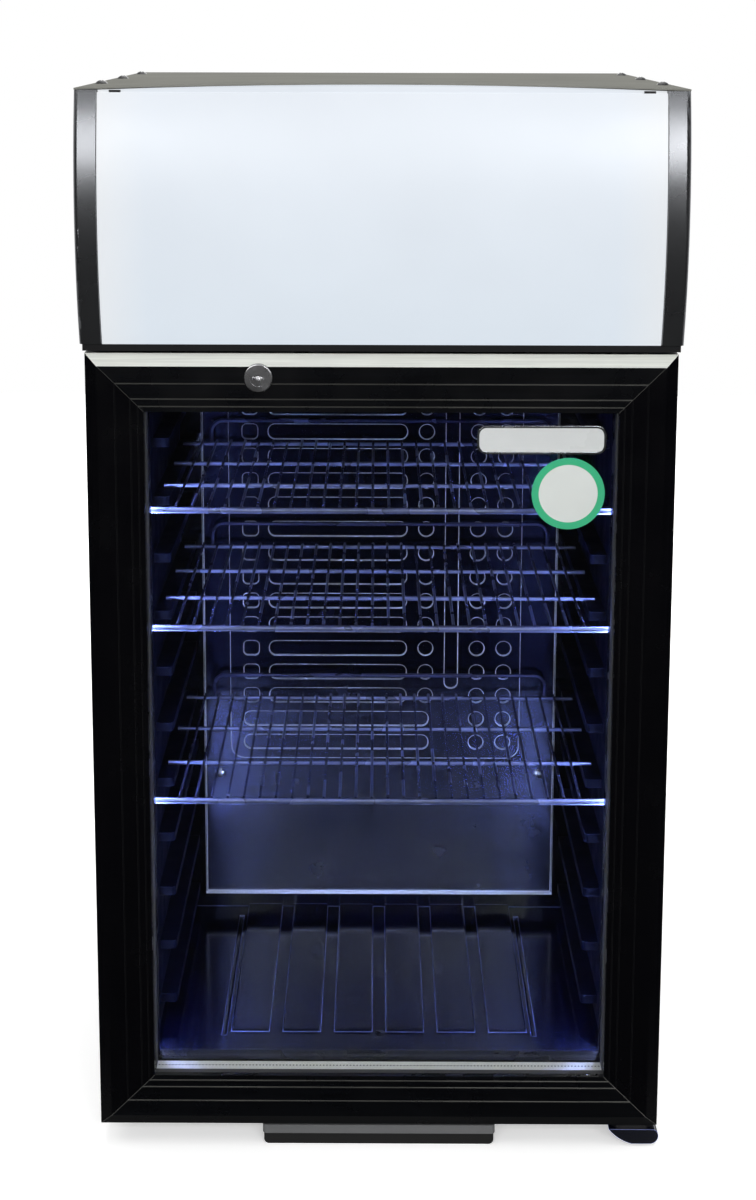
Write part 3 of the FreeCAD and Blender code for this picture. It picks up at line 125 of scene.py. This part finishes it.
class Paint:
    """The node tree of one material or world, with short calls to add and link its nodes."""

    def __init__(self, owner, coordinates="Object"):
        owner.use_nodes = True
        self.owner = owner
        self.tree = owner.node_tree
        self.tree.nodes.clear()
        self.place = self.add("ShaderNodeTexCoord").outputs[coordinates]

    def add(self, kind, inputs=None, **settings):
        node = self.tree.nodes.new(kind)
        for key, value in settings.items():
            setattr(node, key, value)
        for key, value in (inputs or {}).items():
            self.feed(node.inputs[key], value)
        return node

    def feed(self, socket, value):
        """Links a node's output to the socket, or sets the socket to a plain value."""
        if isinstance(value, bpy.types.NodeSocket):
            self.tree.links.new(value, socket)
        else:
            socket.default_value = value

    # places and directions

    def split(self, vector):
        return self.add("ShaderNodeSeparateXYZ", {"Vector": vector}).outputs

    def facing(self):
        """X, Y and Z of the surface's normal."""
        return self.split(self.add("ShaderNodeNewGeometry").outputs["Normal"])

    def stretched(self, scale):
        """Object coordinates scaled along each axis."""
        return self.add("ShaderNodeMapping", {"Vector": self.place, "Scale": scale}).outputs[0]

    # numbers

    def math(self, operation, a, b=0.0):
        return self.add("ShaderNodeMath", {0: a, 1: b}, operation=operation).outputs[0]

    def times(self, a, b):
        return self.math("MULTIPLY", a, b)

    def minus(self, a, b):
        return self.math("SUBTRACT", a, b)

    def size(self, a):
        return self.math("ABSOLUTE", a)

    def larger(self, a, b):
        return self.math("MAXIMUM", a, b)

    def span(self, value, low, high, from_low=0.3, from_high=0.7):
        """Maps value, clamped, onto low..high. The first range is that of a noise's middle values."""
        return self.add(
            "ShaderNodeMapRange",
            {"Value": value, "From Min": from_low, "From Max": from_high, "To Min": low, "To Max": high},
        ).outputs["Result"]

    def noise(self, grain, detail=3.0, vector=None):
        """Noise whose features are about grain metres across."""
        return self.add(
            "ShaderNodeTexNoise",
            {"Vector": vector or self.place, "Scale": 1 / grain, "Detail": detail, "Roughness": 0.55},
        ).outputs["Fac"]

    def varied(self, low, high, grain, detail=3.0):
        """A value that wanders between low and high."""
        return self.span(self.noise(grain, detail), low, high)

    def edges(self, radius, threshold=0.02):
        """1 along sharp edges within radius, 0 on the flats."""
        soft = self.add("ShaderNodeBevel", {"Radius": radius}, samples=8).outputs["Normal"]
        flat = self.add("ShaderNodeNewGeometry").outputs["Normal"]
        dot = self.add("ShaderNodeVectorMath", {0: soft, 1: flat}, operation="DOT_PRODUCT")
        return self.span(dot.outputs["Value"], 1.0, 0.0, 1 - 8 * threshold, 1 - threshold)

    # colours and relief

    def mix(self, factor, a, b):
        """Blends two colours, each a socket or red, green and blue."""
        node = self.add("ShaderNodeMix", data_type="RGBA")
        for index, value in ((0, factor), (6, a), (7, b)):
            self.feed(node.inputs[index], value if index == 0 or not isinstance(value, tuple) else rgb(value))
        return node.outputs[2]

    def cloud(self, dark, pale, grain, detail=3.0):
        """A colour that wanders between two."""
        return self.mix(self.varied(0.0, 1.0, grain, detail), dark, pale)

    def bump(self, height, distance, normal=None):
        inputs = {"Height": height, "Distance": distance, "Strength": 1.0}
        if normal is not None:
            inputs["Normal"] = normal
        return self.add("ShaderNodeBump", inputs).outputs["Normal"]

    def relief(self, grain, depth, detail=2.0, normal=None):
        """Noise as relief, depth metres high."""
        return self.bump(self.noise(grain, detail), depth, normal)

    # closing

    def surface(self, inputs):
        shader = self.add("ShaderNodeBsdfPrincipled", inputs)
        return self.output(shader)

    def output(self, shader):
        self.add("ShaderNodeOutputMaterial", {"Surface": shader.outputs[0]})
        return self.owner


def new_paint(name):
    return Paint(bpy.data.materials.new(name))


def rgb(colour, factor=1.0):
    return tuple(min(1.0, c * factor) for c in colour) + (1.0,)


def tint(colour, factor):
    return tuple(min(1.0, c * factor) for c in colour)


# ---------------------------------------------------------------- finishes

def coated(name, colour, roughness, grain=1.2 * MM, depth=0.02 * MM, coat=0.0, wear=None, spread=0.06,
           level=0.5):
    """Paint or moulded plastic: faint cloudy tone, fine orange peel and paler rubbed edges."""
    p = new_paint(name)
    tone = p.cloud(tint(colour, 0.93), tint(colour, 1.07), 90 * MM)
    if wear is not None:
        rubbed = p.times(p.edges(0.5 * MM), p.varied(0.15, 0.8, 9 * MM, 5.0))
        tone = p.mix(rubbed, tone, wear)
    return p.surface({
        "Base Color": tone, "Roughness": p.varied(roughness - spread, roughness + spread, 28 * MM, 5.0),
        "Normal": p.relief(grain, depth), "Coat Weight": coat, "Coat Roughness": 0.08,
        "Specular IOR Level": level,
    })


def drawn(name, colour, roughness, along=(1.0, 40.0, 40.0), depth=0.004 * MM, metallic=1.0, edge_tone=None,
          level=0.5):
    """Metal with fine drawing or rolling lines along one axis."""
    p = new_paint(name)
    lines = p.noise(60 * MM, 6.0, p.stretched(along))
    tone = p.mix(p.span(lines, 0.0, 1.0), tint(colour, 0.9), tint(colour, 1.08))
    if edge_tone is not None:
        tone = p.mix(p.times(p.edges(0.4 * MM), 0.7), tone, edge_tone)
    return p.surface({
        "Base Color": tone, "Roughness": p.varied(roughness - 0.05, roughness + 0.06, 35 * MM, 4.0),
        "Metallic": metallic, "Normal": p.bump(lines, depth), "Specular IOR Level": level,
    })


def galvanised(name, colour, roughness):
    """Zinc coated sheet with its spangle."""
    p = new_paint(name)
    cells = p.add("ShaderNodeTexVoronoi", {"Vector": p.place, "Scale": 1 / (7 * MM)}).outputs["Color"]
    grey = p.add("ShaderNodeRGBToBW", {"Color": cells}).outputs[0]
    tone = p.mix(p.span(grey, 0.0, 1.0, 0.1, 0.9), tint(colour, 0.85), tint(colour, 1.1))
    return p.surface({
        "Base Color": tone, "Roughness": p.span(grey, roughness - 0.08, roughness + 0.08, 0.1, 0.9),
        "Metallic": 0.9, "Normal": p.relief(3 * MM, 0.01 * MM, 4.0),
    })


def formed_liner(name, roughness, level, edge_highlight):
    """Vacuum formed sheet with a slow ripple and a few wiped marks; its creases and edges are painted pale
    blue as a painted highlight.
    """
    p = new_paint(name)
    tone = p.cloud((0.0015, 0.002, 0.006), (0.003, 0.004, 0.012), 70 * MM)
    # Painted highlight: creases and edges are painted pale blue, as if they catch the light strips.
    tone = p.mix(p.times(p.edges(0.9 * MM), edge_highlight), tone, (0.30, 0.36, 0.75))
    ripple = p.relief(55 * MM, 0.05 * MM, 1.0)
    return p.surface({
        "Base Color": tone, "Roughness": p.varied(0.8 * roughness, 1.2 * roughness, 30 * MM, 6.0),
        "Normal": p.relief(1.6 * MM, 0.002 * MM, 2.0, ripple), "Specular IOR Level": level,
    })


def lacquered_plate(name, low, shade_from):
    """Roll bonded aluminium under dark lacquer: its channel edges and its foot are painted pale as painted
    highlights, and painted shade darkens it above the lowest shelf.
    """
    p = new_paint(name)
    height = p.split(p.place)["Z"]
    tone = p.cloud((0.11, 0.12, 0.17), (0.17, 0.18, 0.25), 60 * MM, 4.0)
    # Painted shade: the plate is painted darker above the underside of the lowest shelf.
    painted_shade = p.span(height, 0.0, 0.95, shade_from - 25 * MM, shade_from + 25 * MM)
    tone = p.mix(painted_shade, tone, (0.002, 0.003, 0.012))
    # Painted highlights: the plate's foot and its channel edges are painted pale and less metallic.
    foot_highlight = p.span(height, 1.0, 0.0, low + 1.6 * MM, low + 2.6 * MM)
    painted_highlight = p.larger(p.edges(0.9 * MM, 0.01), foot_highlight)
    sheet = p.bump(p.noise(90 * MM, 1.0, p.stretched((1.5, 1.0, 0.4))), 0.25 * MM)
    return p.surface({
        "Base Color": p.mix(painted_highlight, tone, (0.93, 0.94, 0.96)),
        "Roughness": p.larger(p.varied(0.22, 0.28, 40 * MM, 5.0), p.times(painted_highlight, 0.5)),
        "Metallic": p.minus(0.94, p.times(painted_highlight, 0.85)),
        "Normal": p.relief(2.2 * MM, 0.002 * MM, 3.0, sheet),
    })


def shelf_coat(name, low):
    """Gloss coated wire, one coating throughout: the bars and the front wire are painted paler and bluer as a
    painted highlight, and the thin rods on top keep the darker tone.
    """
    p = new_paint(name)
    rods = low + ROD_LEVEL
    upper = p.span(p.split(p.place)["Z"], 0.0, 1.0, rods - ROD_BLEND, rods + ROD_BLEND)
    # Painted highlight: the bars and the front wire are painted paler and bluer than the rods of the same
    # coating.
    bar_highlight = p.cloud((0.20, 0.22, 0.36), (0.30, 0.33, 0.50), 14 * MM, 4.0)
    wire = p.cloud((0.05, 0.055, 0.11), (0.07, 0.075, 0.15), 20 * MM, 4.0)
    return p.surface({
        "Base Color": p.mix(upper, bar_highlight, wire), "Roughness": p.varied(0.24, 0.3, 60 * MM, 2.0),
        "Metallic": 0.7, "Normal": p.relief(9 * MM, 0.002 * MM, 1.0),
    })


def front_sheen_moulding(name, front):
    """Black moulding: a painted sheen on its front, a pale metallic grey that shows a highlight, runs back
    into textured black side walls.
    """
    p = new_paint(name)
    back = front + SHEEN_DEPTH
    side = p.span(p.split(p.place)["Y"], 0.0, 1.0, back, back + SHEEN_BLEND)
    patches = p.varied(0.0, 1.0, 90 * MM)
    # Painted sheen: the front is a pale metallic grey so that it shows a highlight, while the side walls stay
    # black.
    painted_sheen = p.mix(patches, (0.16, 0.165, 0.175), (0.18, 0.185, 0.195))
    wall = p.mix(patches, (0.005, 0.005, 0.006), (0.008, 0.008, 0.009))
    return p.surface({
        "Base Color": p.mix(side, painted_sheen, wall), "Metallic": p.span(side, 0.93, 0.0, 0.0, 1.0),
        "Roughness": p.math("ADD", p.varied(0.26, 0.29, 40 * MM), p.times(side, 0.1)),
        "Normal": p.relief(0.8 * MM, 0.008 * MM), "Specular IOR Level": 0.5,
    })


def lined_rail(name, box, mitre_and_highlight_tone):
    """Black extrusion whose mitres show as thin pale lines of bare metal, with painted highlights as thin
    pale lines where its grooves' edges catch the light.

    The box is the whole door's. Depth counts from its nearer long edge, inward from its nearer side.
    """
    low, high = box
    p = new_paint(name)
    axes = p.split(p.place)
    depth = p.minus((high.z - low.z) / 2, p.size(p.minus(axes["Z"], (low.z + high.z) / 2)))
    inward = p.minus(high.x, p.size(axes["X"]))
    lines = p.span(p.size(p.minus(depth, inward)), 0.7, 0.0, *MITRE_LINE_HALF)
    on_rail = p.times(
        p.span(p.minus(inward, depth), 0.0, 1.0, 0.0, 0.2 * MM),
        p.span(inward, 0.0, 1.0, 0.0, 0.1 * MM))
    # Painted highlights: pale lines where the grooves' edges would catch the light.
    for line in RAIL_HIGHLIGHT_LINES:
        highlight = p.span(p.size(p.minus(depth, line)), 0.75, 0.0, *RAIL_HIGHLIGHT_HALF)
        lines = p.larger(lines, p.times(highlight, on_rail))
    front = p.span(p.facing()["Y"], 1.0, 0.0, -0.9, -0.3)
    fade = p.span(p.noise(90 * MM, 2.0, p.stretched((1.0, 1.0, 0.01))), 0.45, 1.0)
    grain = p.noise(60 * MM, 6.0, p.stretched((1.0, 40.0, 40.0)))
    tone = p.mix(p.span(grain, 0.0, 1.0), (0.001, 0.0012, 0.0018), (0.0022, 0.0026, 0.004))
    return p.surface({
        "Base Color": p.mix(p.times(lines, p.times(front, fade)), tone, mitre_and_highlight_tone),
        "Roughness": p.varied(0.24, 0.34, 35 * MM, 4.0), "Normal": p.bump(grain, 0.003 * MM),
        "Specular IOR Level": 0.3,
    })


def lit_opal(name, box):
    """Opal sheet lit from behind: cooler towards its foot, warmer by its side edges."""
    low, high = box
    p = new_paint(name)
    axes = p.split(p.place)
    height = p.span(axes["Z"], 0.0, 1.0, low.z, high.z)
    side = p.span(p.size(axes["X"]), 0.0, 1.0, high.x - PANEL_MARGIN, high.x)
    glow = p.mix(height, (0.63, 0.705, 0.775), (0.735, 0.78, 0.835))
    glow = p.mix(p.times(side, 0.5), glow, (0.80, 0.79, 0.76))
    return p.surface({
        "Base Color": rgb((0.20, 0.21, 0.23)), "Roughness": p.varied(0.28, 0.36, 50 * MM),
        "Emission Color": glow, "Emission Strength": p.times(p.varied(0.96, 1.02, 120 * MM, 2.0), PANEL_GLOW),
        "Normal": p.relief(2.5 * MM, 0.004 * MM),
    })


def glowing(name, colour):
    """Light strip: an opal cover with the lamps behind it showing faintly as a row."""
    p = new_paint(name)
    turn = p.times(p.split(p.place)["Z"], math.pi / STRIP_PITCH)
    row = p.size(p.math("SINE", turn))
    return p.surface({
        "Base Color": rgb((0.7, 0.75, 0.9)), "Roughness": p.varied(0.3, 0.45, 20 * MM),
        "Emission Color": rgb(colour),
        "Emission Strength": p.span(row, 0.8 * STRIP_STRENGTH, 1.1 * STRIP_STRENGTH, 0.0, 1.0),
    })


def clear_glass(name):
    """Thin clear pane: what is behind it, with a weak reflection and a few wiped smears."""
    p = new_paint(name)
    smear = p.noise(60 * MM, 5.0, p.stretched((1.0, 1.0, 0.35)))
    gloss = p.add("ShaderNodeBsdfGlossy", {"Color": rgb((1, 1, 1)), "Roughness": p.span(smear, 0.0, 0.05)})
    clear = p.add("ShaderNodeBsdfTransparent", {"Color": rgb((0.975, 0.985, 0.98))})
    share = p.add("ShaderNodeFresnel", {"IOR": PANE_IOR}).outputs[0]
    return p.output(p.add("ShaderNodeMixShader", {0: share, 1: clear.outputs[0], 2: gloss.outputs[0]}))


def perforated(name, low, high):
    """Matt spacer bar with a row of small drying holes; its upright faces are painted dark as painted shade.
    """
    p = new_paint(name)
    axes = p.split(p.place)
    level = p.span(p.size(p.facing()["Z"]), 0.0, 1.0, 0.45, 0.55)
    run = p.math("ADD", p.times(axes["X"], level), p.times(axes["Z"], p.minus(1.0, level)))
    along = p.minus(p.math("FLOORED_MODULO", run, HOLE_PITCH), HOLE_PITCH / 2)
    across = p.minus(axes["Y"], (low.y + high.y) / 2)
    reach = p.math("SQRT", p.math("ADD", p.math("POWER", along, 2.0), p.math("POWER", across, 2.0)))
    hole = p.span(reach, 1.0, 0.0, *HOLE_RADII)
    tone = p.cloud((0.90, 0.90, 0.87), (0.98, 0.98, 0.95), 12 * MM, 4.0)
    # Painted shade: the spacer's upright faces are painted dark.
    tone = p.mix(hole, p.mix(level, (0.10, 0.10, 0.11), tone), (0.02, 0.02, 0.025))
    return p.surface({
        "Base Color": tone, "Roughness": p.varied(0.38, 0.52, 6 * MM),
        "Normal": p.bump(p.minus(1.0, hole), 0.2 * MM),
    })


def rigid_foam(name):
    """Cut foam with its cells."""
    p = new_paint(name)
    cells = p.add("ShaderNodeTexVoronoi", {"Vector": p.place, "Scale": 1 / (2.4 * MM)}).outputs["Distance"]
    return p.surface({
        "Base Color": p.cloud((0.62, 0.55, 0.36), (0.75, 0.69, 0.50), 30 * MM),
        "Roughness": p.varied(0.8, 0.95, 10 * MM), "Normal": p.bump(cells, 0.4 * MM),
    })


def make_finishes():
    """One material for each of the record's slots."""
    return {
        "black_steel": coated("black_steel", (0.006, 0.006, 0.007), 0.36, wear=(0.04, 0.04, 0.045),
                              spread=0.02),
        "grey_cover": coated("grey_cover", (0.22, 0.22, 0.20), 0.5, wear=(0.3, 0.3, 0.28), level=0.0),
        # The last number sets the painted highlight on the liner's creases and edges.
        "black_liner": formed_liner("black_liner", 0.13, 0.9, 1.0),
        "black_plastic": coated("black_plastic", (0.004, 0.0045, 0.006), 0.27, grain=0.8 * MM,
                                depth=0.008 * MM, coat=0.3, wear=(0.03, 0.031, 0.035), level=0.9),
        "foam": rigid_foam("foam"),
        "galvanised": galvanised("galvanised", (0.56, 0.58, 0.60), 0.40),
        "opal": lit_opal("opal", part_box("canopy_face")),
        "light_strip": glowing("light_strip", (0.34, 0.43, 1.0)),
        "black_aluminium": drawn("black_aluminium", (0.0012, 0.0012, 0.002), 0.24, (40.0, 40.0, 1.0),
                                 metallic=0.0, edge_tone=(0.02, 0.02, 0.022), level=0.3),
        # Trim: partly its own pale satin metal, partly a painted highlight, made pale and mostly matt so it
        # shows as a bright band along the door's top.
        "bright_trim": drawn("bright_trim", (0.76, 0.78, 0.73), 0.4, metallic=0.15),
        "clear_glass": clear_glass("clear_glass"),
        "spacer_metal": perforated("spacer_metal", *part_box("glass_spacer")),
        "black_rubber": coated("black_rubber", (0.012, 0.012, 0.012), 0.66, grain=0.9 * MM, depth=0.05 * MM),
        "chrome": drawn("chrome", (0.78, 0.78, 0.80), 0.24, (20.0, 20.0, 20.0), 0.001 * MM),
        "evaporator_metal": lacquered_plate("evaporator_metal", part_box("evaporator_plate")[0].z,
                                            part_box("shelf_bottom")[0].z),
        "white_sheet": coated("white_sheet", (0.74, 0.74, 0.73), 0.42, wear=(0.6, 0.6, 0.6)),
        "board": coated("board", (0.62, 0.66, 0.62), 0.5, coat=0.3),
        "white_plastic": coated("white_plastic", (0.66, 0.66, 0.64), 0.4),
        "compressor_black": coated("compressor_black", (0.008, 0.008, 0.008), 0.22, coat=0.6,
                                   wear=(0.05, 0.05, 0.05)),
        "copper": drawn("copper", (0.66, 0.33, 0.19), 0.28, (12.0, 12.0, 12.0)),
        "nylon": coated("nylon", (0.55, 0.55, 0.52), 0.5),
    }


def make_own_finishes():
    """Finishes of single nodes, most of which follow the node's own place."""
    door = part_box("door_bottom_rail")[0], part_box("door_top_rail")[1]
    own = {
        # The line tones carry painted highlights: dimmer on the top rail than on the bottom rail.
        "door_top_rail": lined_rail("top_rail", door, (0.12, 0.12, 0.11)),
        "door_bottom_rail": lined_rail("bottom_rail", door, (0.26, 0.26, 0.24)),
        "canopy_end_caps": front_sheen_moulding("end_caps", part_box("canopy_end_caps")[0].y),
        "front_support_bar": coated("support_bar", (0.15, 0.153, 0.158), 0.42, wear=(0.22, 0.22, 0.225)),
    }
    for shelf in ("shelf_bottom", "shelf_middle", "shelf_top"):
        own[shelf] = shelf_coat(shelf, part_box(shelf)[0].z)
    for wall in ("liner_wall_left", "liner_wall_right"):
        # The last number sets a faint painted highlight on the walls' creases and edges.
        own[wall] = formed_liner(wall, 0.5, 0.05, 0.06)
    return own


def paint_nodes(frame, finishes, own):
    """Gives each CAD node its own finish, or the finish of its slot."""
    for part in frame["record"]["subparts"]:
        for one in frame["nodes"][part["node"]].material_slots:
            one.link = "OBJECT"
            one.material = own.get(part["node"]) or finishes[part["material_slot"]]


# ---------------------------------------------------------------- labels

def rounded(x0, x1, z0, z1, radius, inset=0.0):
    """Corner points of a rounded rectangle, anticlockwise, drawn in by inset."""
    points = []
    for cx, cz, start in ((x1, z1, 0), (x0, z1, 1), (x0, z0, 2), (x1, z0, 3)):
        centre_x = cx - radius if cx == x1 else cx + radius
        centre_z = cz - radius if cz == z1 else cz + radius
        for step in range(CORNER_STEPS + 1):
            angle = (start + step / CORNER_STEPS) * math.pi / 2
            reach = radius - inset
            points.append((centre_x + reach * math.cos(angle), centre_z + reach * math.sin(angle)))
    return points


def new_object(name, bm, material):
    """Object from the mesh being built, with one material."""
    mesh = bpy.data.meshes.new(name)
    bm.to_mesh(mesh)
    bm.free()
    mesh.materials.append(material)
    made = bpy.data.objects.new(name, mesh)
    bpy.context.scene.collection.objects.link(made)
    return made


def raised(name, outer, inner, back, front, material, body, softness):
    """A flat piece between two Y planes, with a hole where inner is given."""
    bm = bmesh.new()
    loops = [[bm.verts.new((x, y, z)) for x, z in outline]
             for outline in (outer, inner) if outline for y in (back, front)]
    count = len(outer)
    outer_back, outer_front = loops[0], loops[1]
    if inner:
        inner_back, inner_front = loops[2], loops[3]
        strips = ((outer_back, outer_front), (outer_front, inner_front), (inner_front, inner_back),
                  (inner_back, outer_back))
    else:
        strips = ((outer_back, outer_front),)
        bm.faces.new(outer_front)
        bm.faces.new(list(reversed(outer_back)))
    for a, b in strips:
        for i in range(count):
            j = (i + 1) % count
            bm.faces.new((a[i], a[j], b[j], b[i]))
    bmesh.ops.recalc_face_normals(bm, faces=bm.faces)
    piece = new_object(name, bm, material)
    bevel = piece.modifiers.new("softened", "BEVEL")
    bevel.width = softness
    bevel.segments = 3
    bevel.limit_method = "ANGLE"
    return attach(piece, body)


def make_labels(glass_front):
    """A blank name plate and a blank round sticker on the outer pane."""
    plate_frame = drawn("plate_frame", (0.62, 0.65, 0.68), 0.25)
    plate_field = coated("plate_field", (0.60, 0.62, 0.62), 0.3, coat=0.5)
    sticker = coated("sticker", (0.62, 0.65, 0.63), 0.42)
    rim = coated("sticker_rim", (0.03, 0.42, 0.20), 0.4)
    glue = glass_front - GLUE
    outline = rounded(*NAME_PLATE, PLATE_RADIUS)
    opening = rounded(*NAME_PLATE, PLATE_RADIUS, PLATE_FRAME)
    field_front = glue - FIELD_SHARE * LABEL_THICKNESS
    raised("name_plate_frame", outline, opening, glue, glue - LABEL_THICKNESS, plate_frame, "door", 0.15 * MM)
    raised("name_plate_field", opening, None, glue, field_front, plate_field, "door", 0.05 * MM)
    x, z = DISC_CENTRE
    disc = (x - DISC_RADIUS, x + DISC_RADIUS, z - DISC_RADIUS, z + DISC_RADIUS, DISC_RADIUS)
    circle, inner = rounded(*disc), rounded(*disc, DISC_RIM)
    raised("sticker_rim", circle, inner, glue, glue - STICKER_THICKNESS, rim, "door", 0.04 * MM)
    raised("sticker_field", inner, None, glue, glue - STICKER_THICKNESS, sticker, "door", 0.04 * MM)


# ---------------------------------------------------------------- room

def ray_kinds(p):
    """1 for rays that meet the white background straight or through glass, and 1 for gloss."""
    path = p.add("ShaderNodeLightPath").outputs
    return p.larger(path["Is Camera Ray"], path["Is Transmission Ray"]), path["Is Glossy Ray"]


def make_floor(box):
    """Pale floor that keeps the shadow. Gloss sees it dark in front, as a black card keeps glass clear."""
    p = new_paint("studio_floor")
    seen, glossy = ray_kinds(p)
    front = box[0][1]
    turn_from, turn_to = (front + shift for shift in FLOOR_TURN)
    behind = p.span(p.split(p.place)["Y"], FRONT_DARK, FLOOR_BEHIND, turn_from, turn_to)
    share = p.math("ADD", p.times(glossy, behind), p.minus(1.0, glossy))
    far = p.add("ShaderNodeVectorMath", {0: p.place}, operation="LENGTH").outputs["Value"]
    lift = p.span(far, *FLOOR_GLOW, *FLOOR_FADE)
    white = p.add("ShaderNodeCombineColor", {0: share, 1: share, 2: share}).outputs[0]
    cloth = p.add("ShaderNodeBsdfDiffuse", {"Color": white})
    glow = p.add("ShaderNodeEmission", {"Color": rgb((1, 1, 1)), "Strength": p.times(seen, lift)})
    material = p.output(p.add("ShaderNodeAddShader", {0: cloth.outputs[0], 1: glow.outputs[0]}))
    bm = bmesh.new()
    bm.faces.new([bm.verts.new((x * FLOOR_REACH, y * FLOOR_REACH, 0))
                  for x, y in ((-1, -1), (1, -1), (1, 1), (-1, 1))])
    floor = new_object("studio_floor", bm, material)


def make_world():
    """White to the camera, an even soft room to matt surfaces, dark in front to gloss."""
    world = bpy.data.worlds.new("studio")
    bpy.context.scene.world = world
    p = Paint(world, "Generated")
    seen, glossy = ray_kinds(p)
    axes = p.split(p.place)
    shiny = p.larger(
        p.span(axes["Y"], FRONT_DARK, SKY_BEHIND, *SKY_BEHIND_FROM),
        p.span(axes["Z"], 0.0, SKY_ABOVE, *SKY_ABOVE_FROM))
    soft = p.math("ADD", p.times(glossy, shiny), p.times(p.minus(1.0, glossy), AMBIENT))
    sky = p.add("ShaderNodeBackground", {"Color": rgb((1, 1, 1)), "Strength": p.larger(seen, soft)})
    p.add("ShaderNodeOutputWorld", {"Surface": sky.outputs[0]})


def make_lamps():
    for name, place, size, power, colour in LAMPS:
        light = bpy.data.lights.new(name, "AREA")
        light.shape = "RECTANGLE"
        light.size, light.size_y = size
        light.energy = power
        light.color = colour
        lamp = bpy.data.objects.new(name, light)
        lamp.location = place
        lamp.rotation_euler = (TARGET - Vector(place)).to_track_quat("-Z", "Y").to_euler()
        bpy.context.scene.collection.objects.link(lamp)


def make_camera():
    data = bpy.data.cameras.new("photo_view")
    data.sensor_width = SENSOR_MM
    data.lens = LENS_MM
    data.shift_x, data.shift_y = SHIFT
    data.clip_start = CLIP_START
    camera = bpy.data.objects.new("photo_view", data)
    camera.location = CAMERA_PLACE
    camera.rotation_euler = (math.pi / 2 - CAMERA_TILT, CAMERA_ROLL, CAMERA_YAW)
    bpy.context.scene.collection.objects.link(camera)
    bpy.context.scene.camera = camera


# ---------------------------------------------------------------- build


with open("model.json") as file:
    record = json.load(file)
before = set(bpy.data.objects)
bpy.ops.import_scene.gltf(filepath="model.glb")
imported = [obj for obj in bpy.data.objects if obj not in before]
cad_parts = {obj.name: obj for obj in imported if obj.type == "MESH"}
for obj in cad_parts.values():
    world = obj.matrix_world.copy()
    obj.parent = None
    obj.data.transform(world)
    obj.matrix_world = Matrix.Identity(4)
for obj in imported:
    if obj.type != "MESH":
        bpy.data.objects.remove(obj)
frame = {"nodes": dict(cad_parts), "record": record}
cad_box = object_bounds()
bpy.context.scene.view_settings.view_transform = "Standard"
paint_nodes(frame, make_finishes(), make_own_finishes())
make_labels(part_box("outer_pane")[0].y)
make_floor(cad_box)
make_world()
make_lamps()
make_camera()
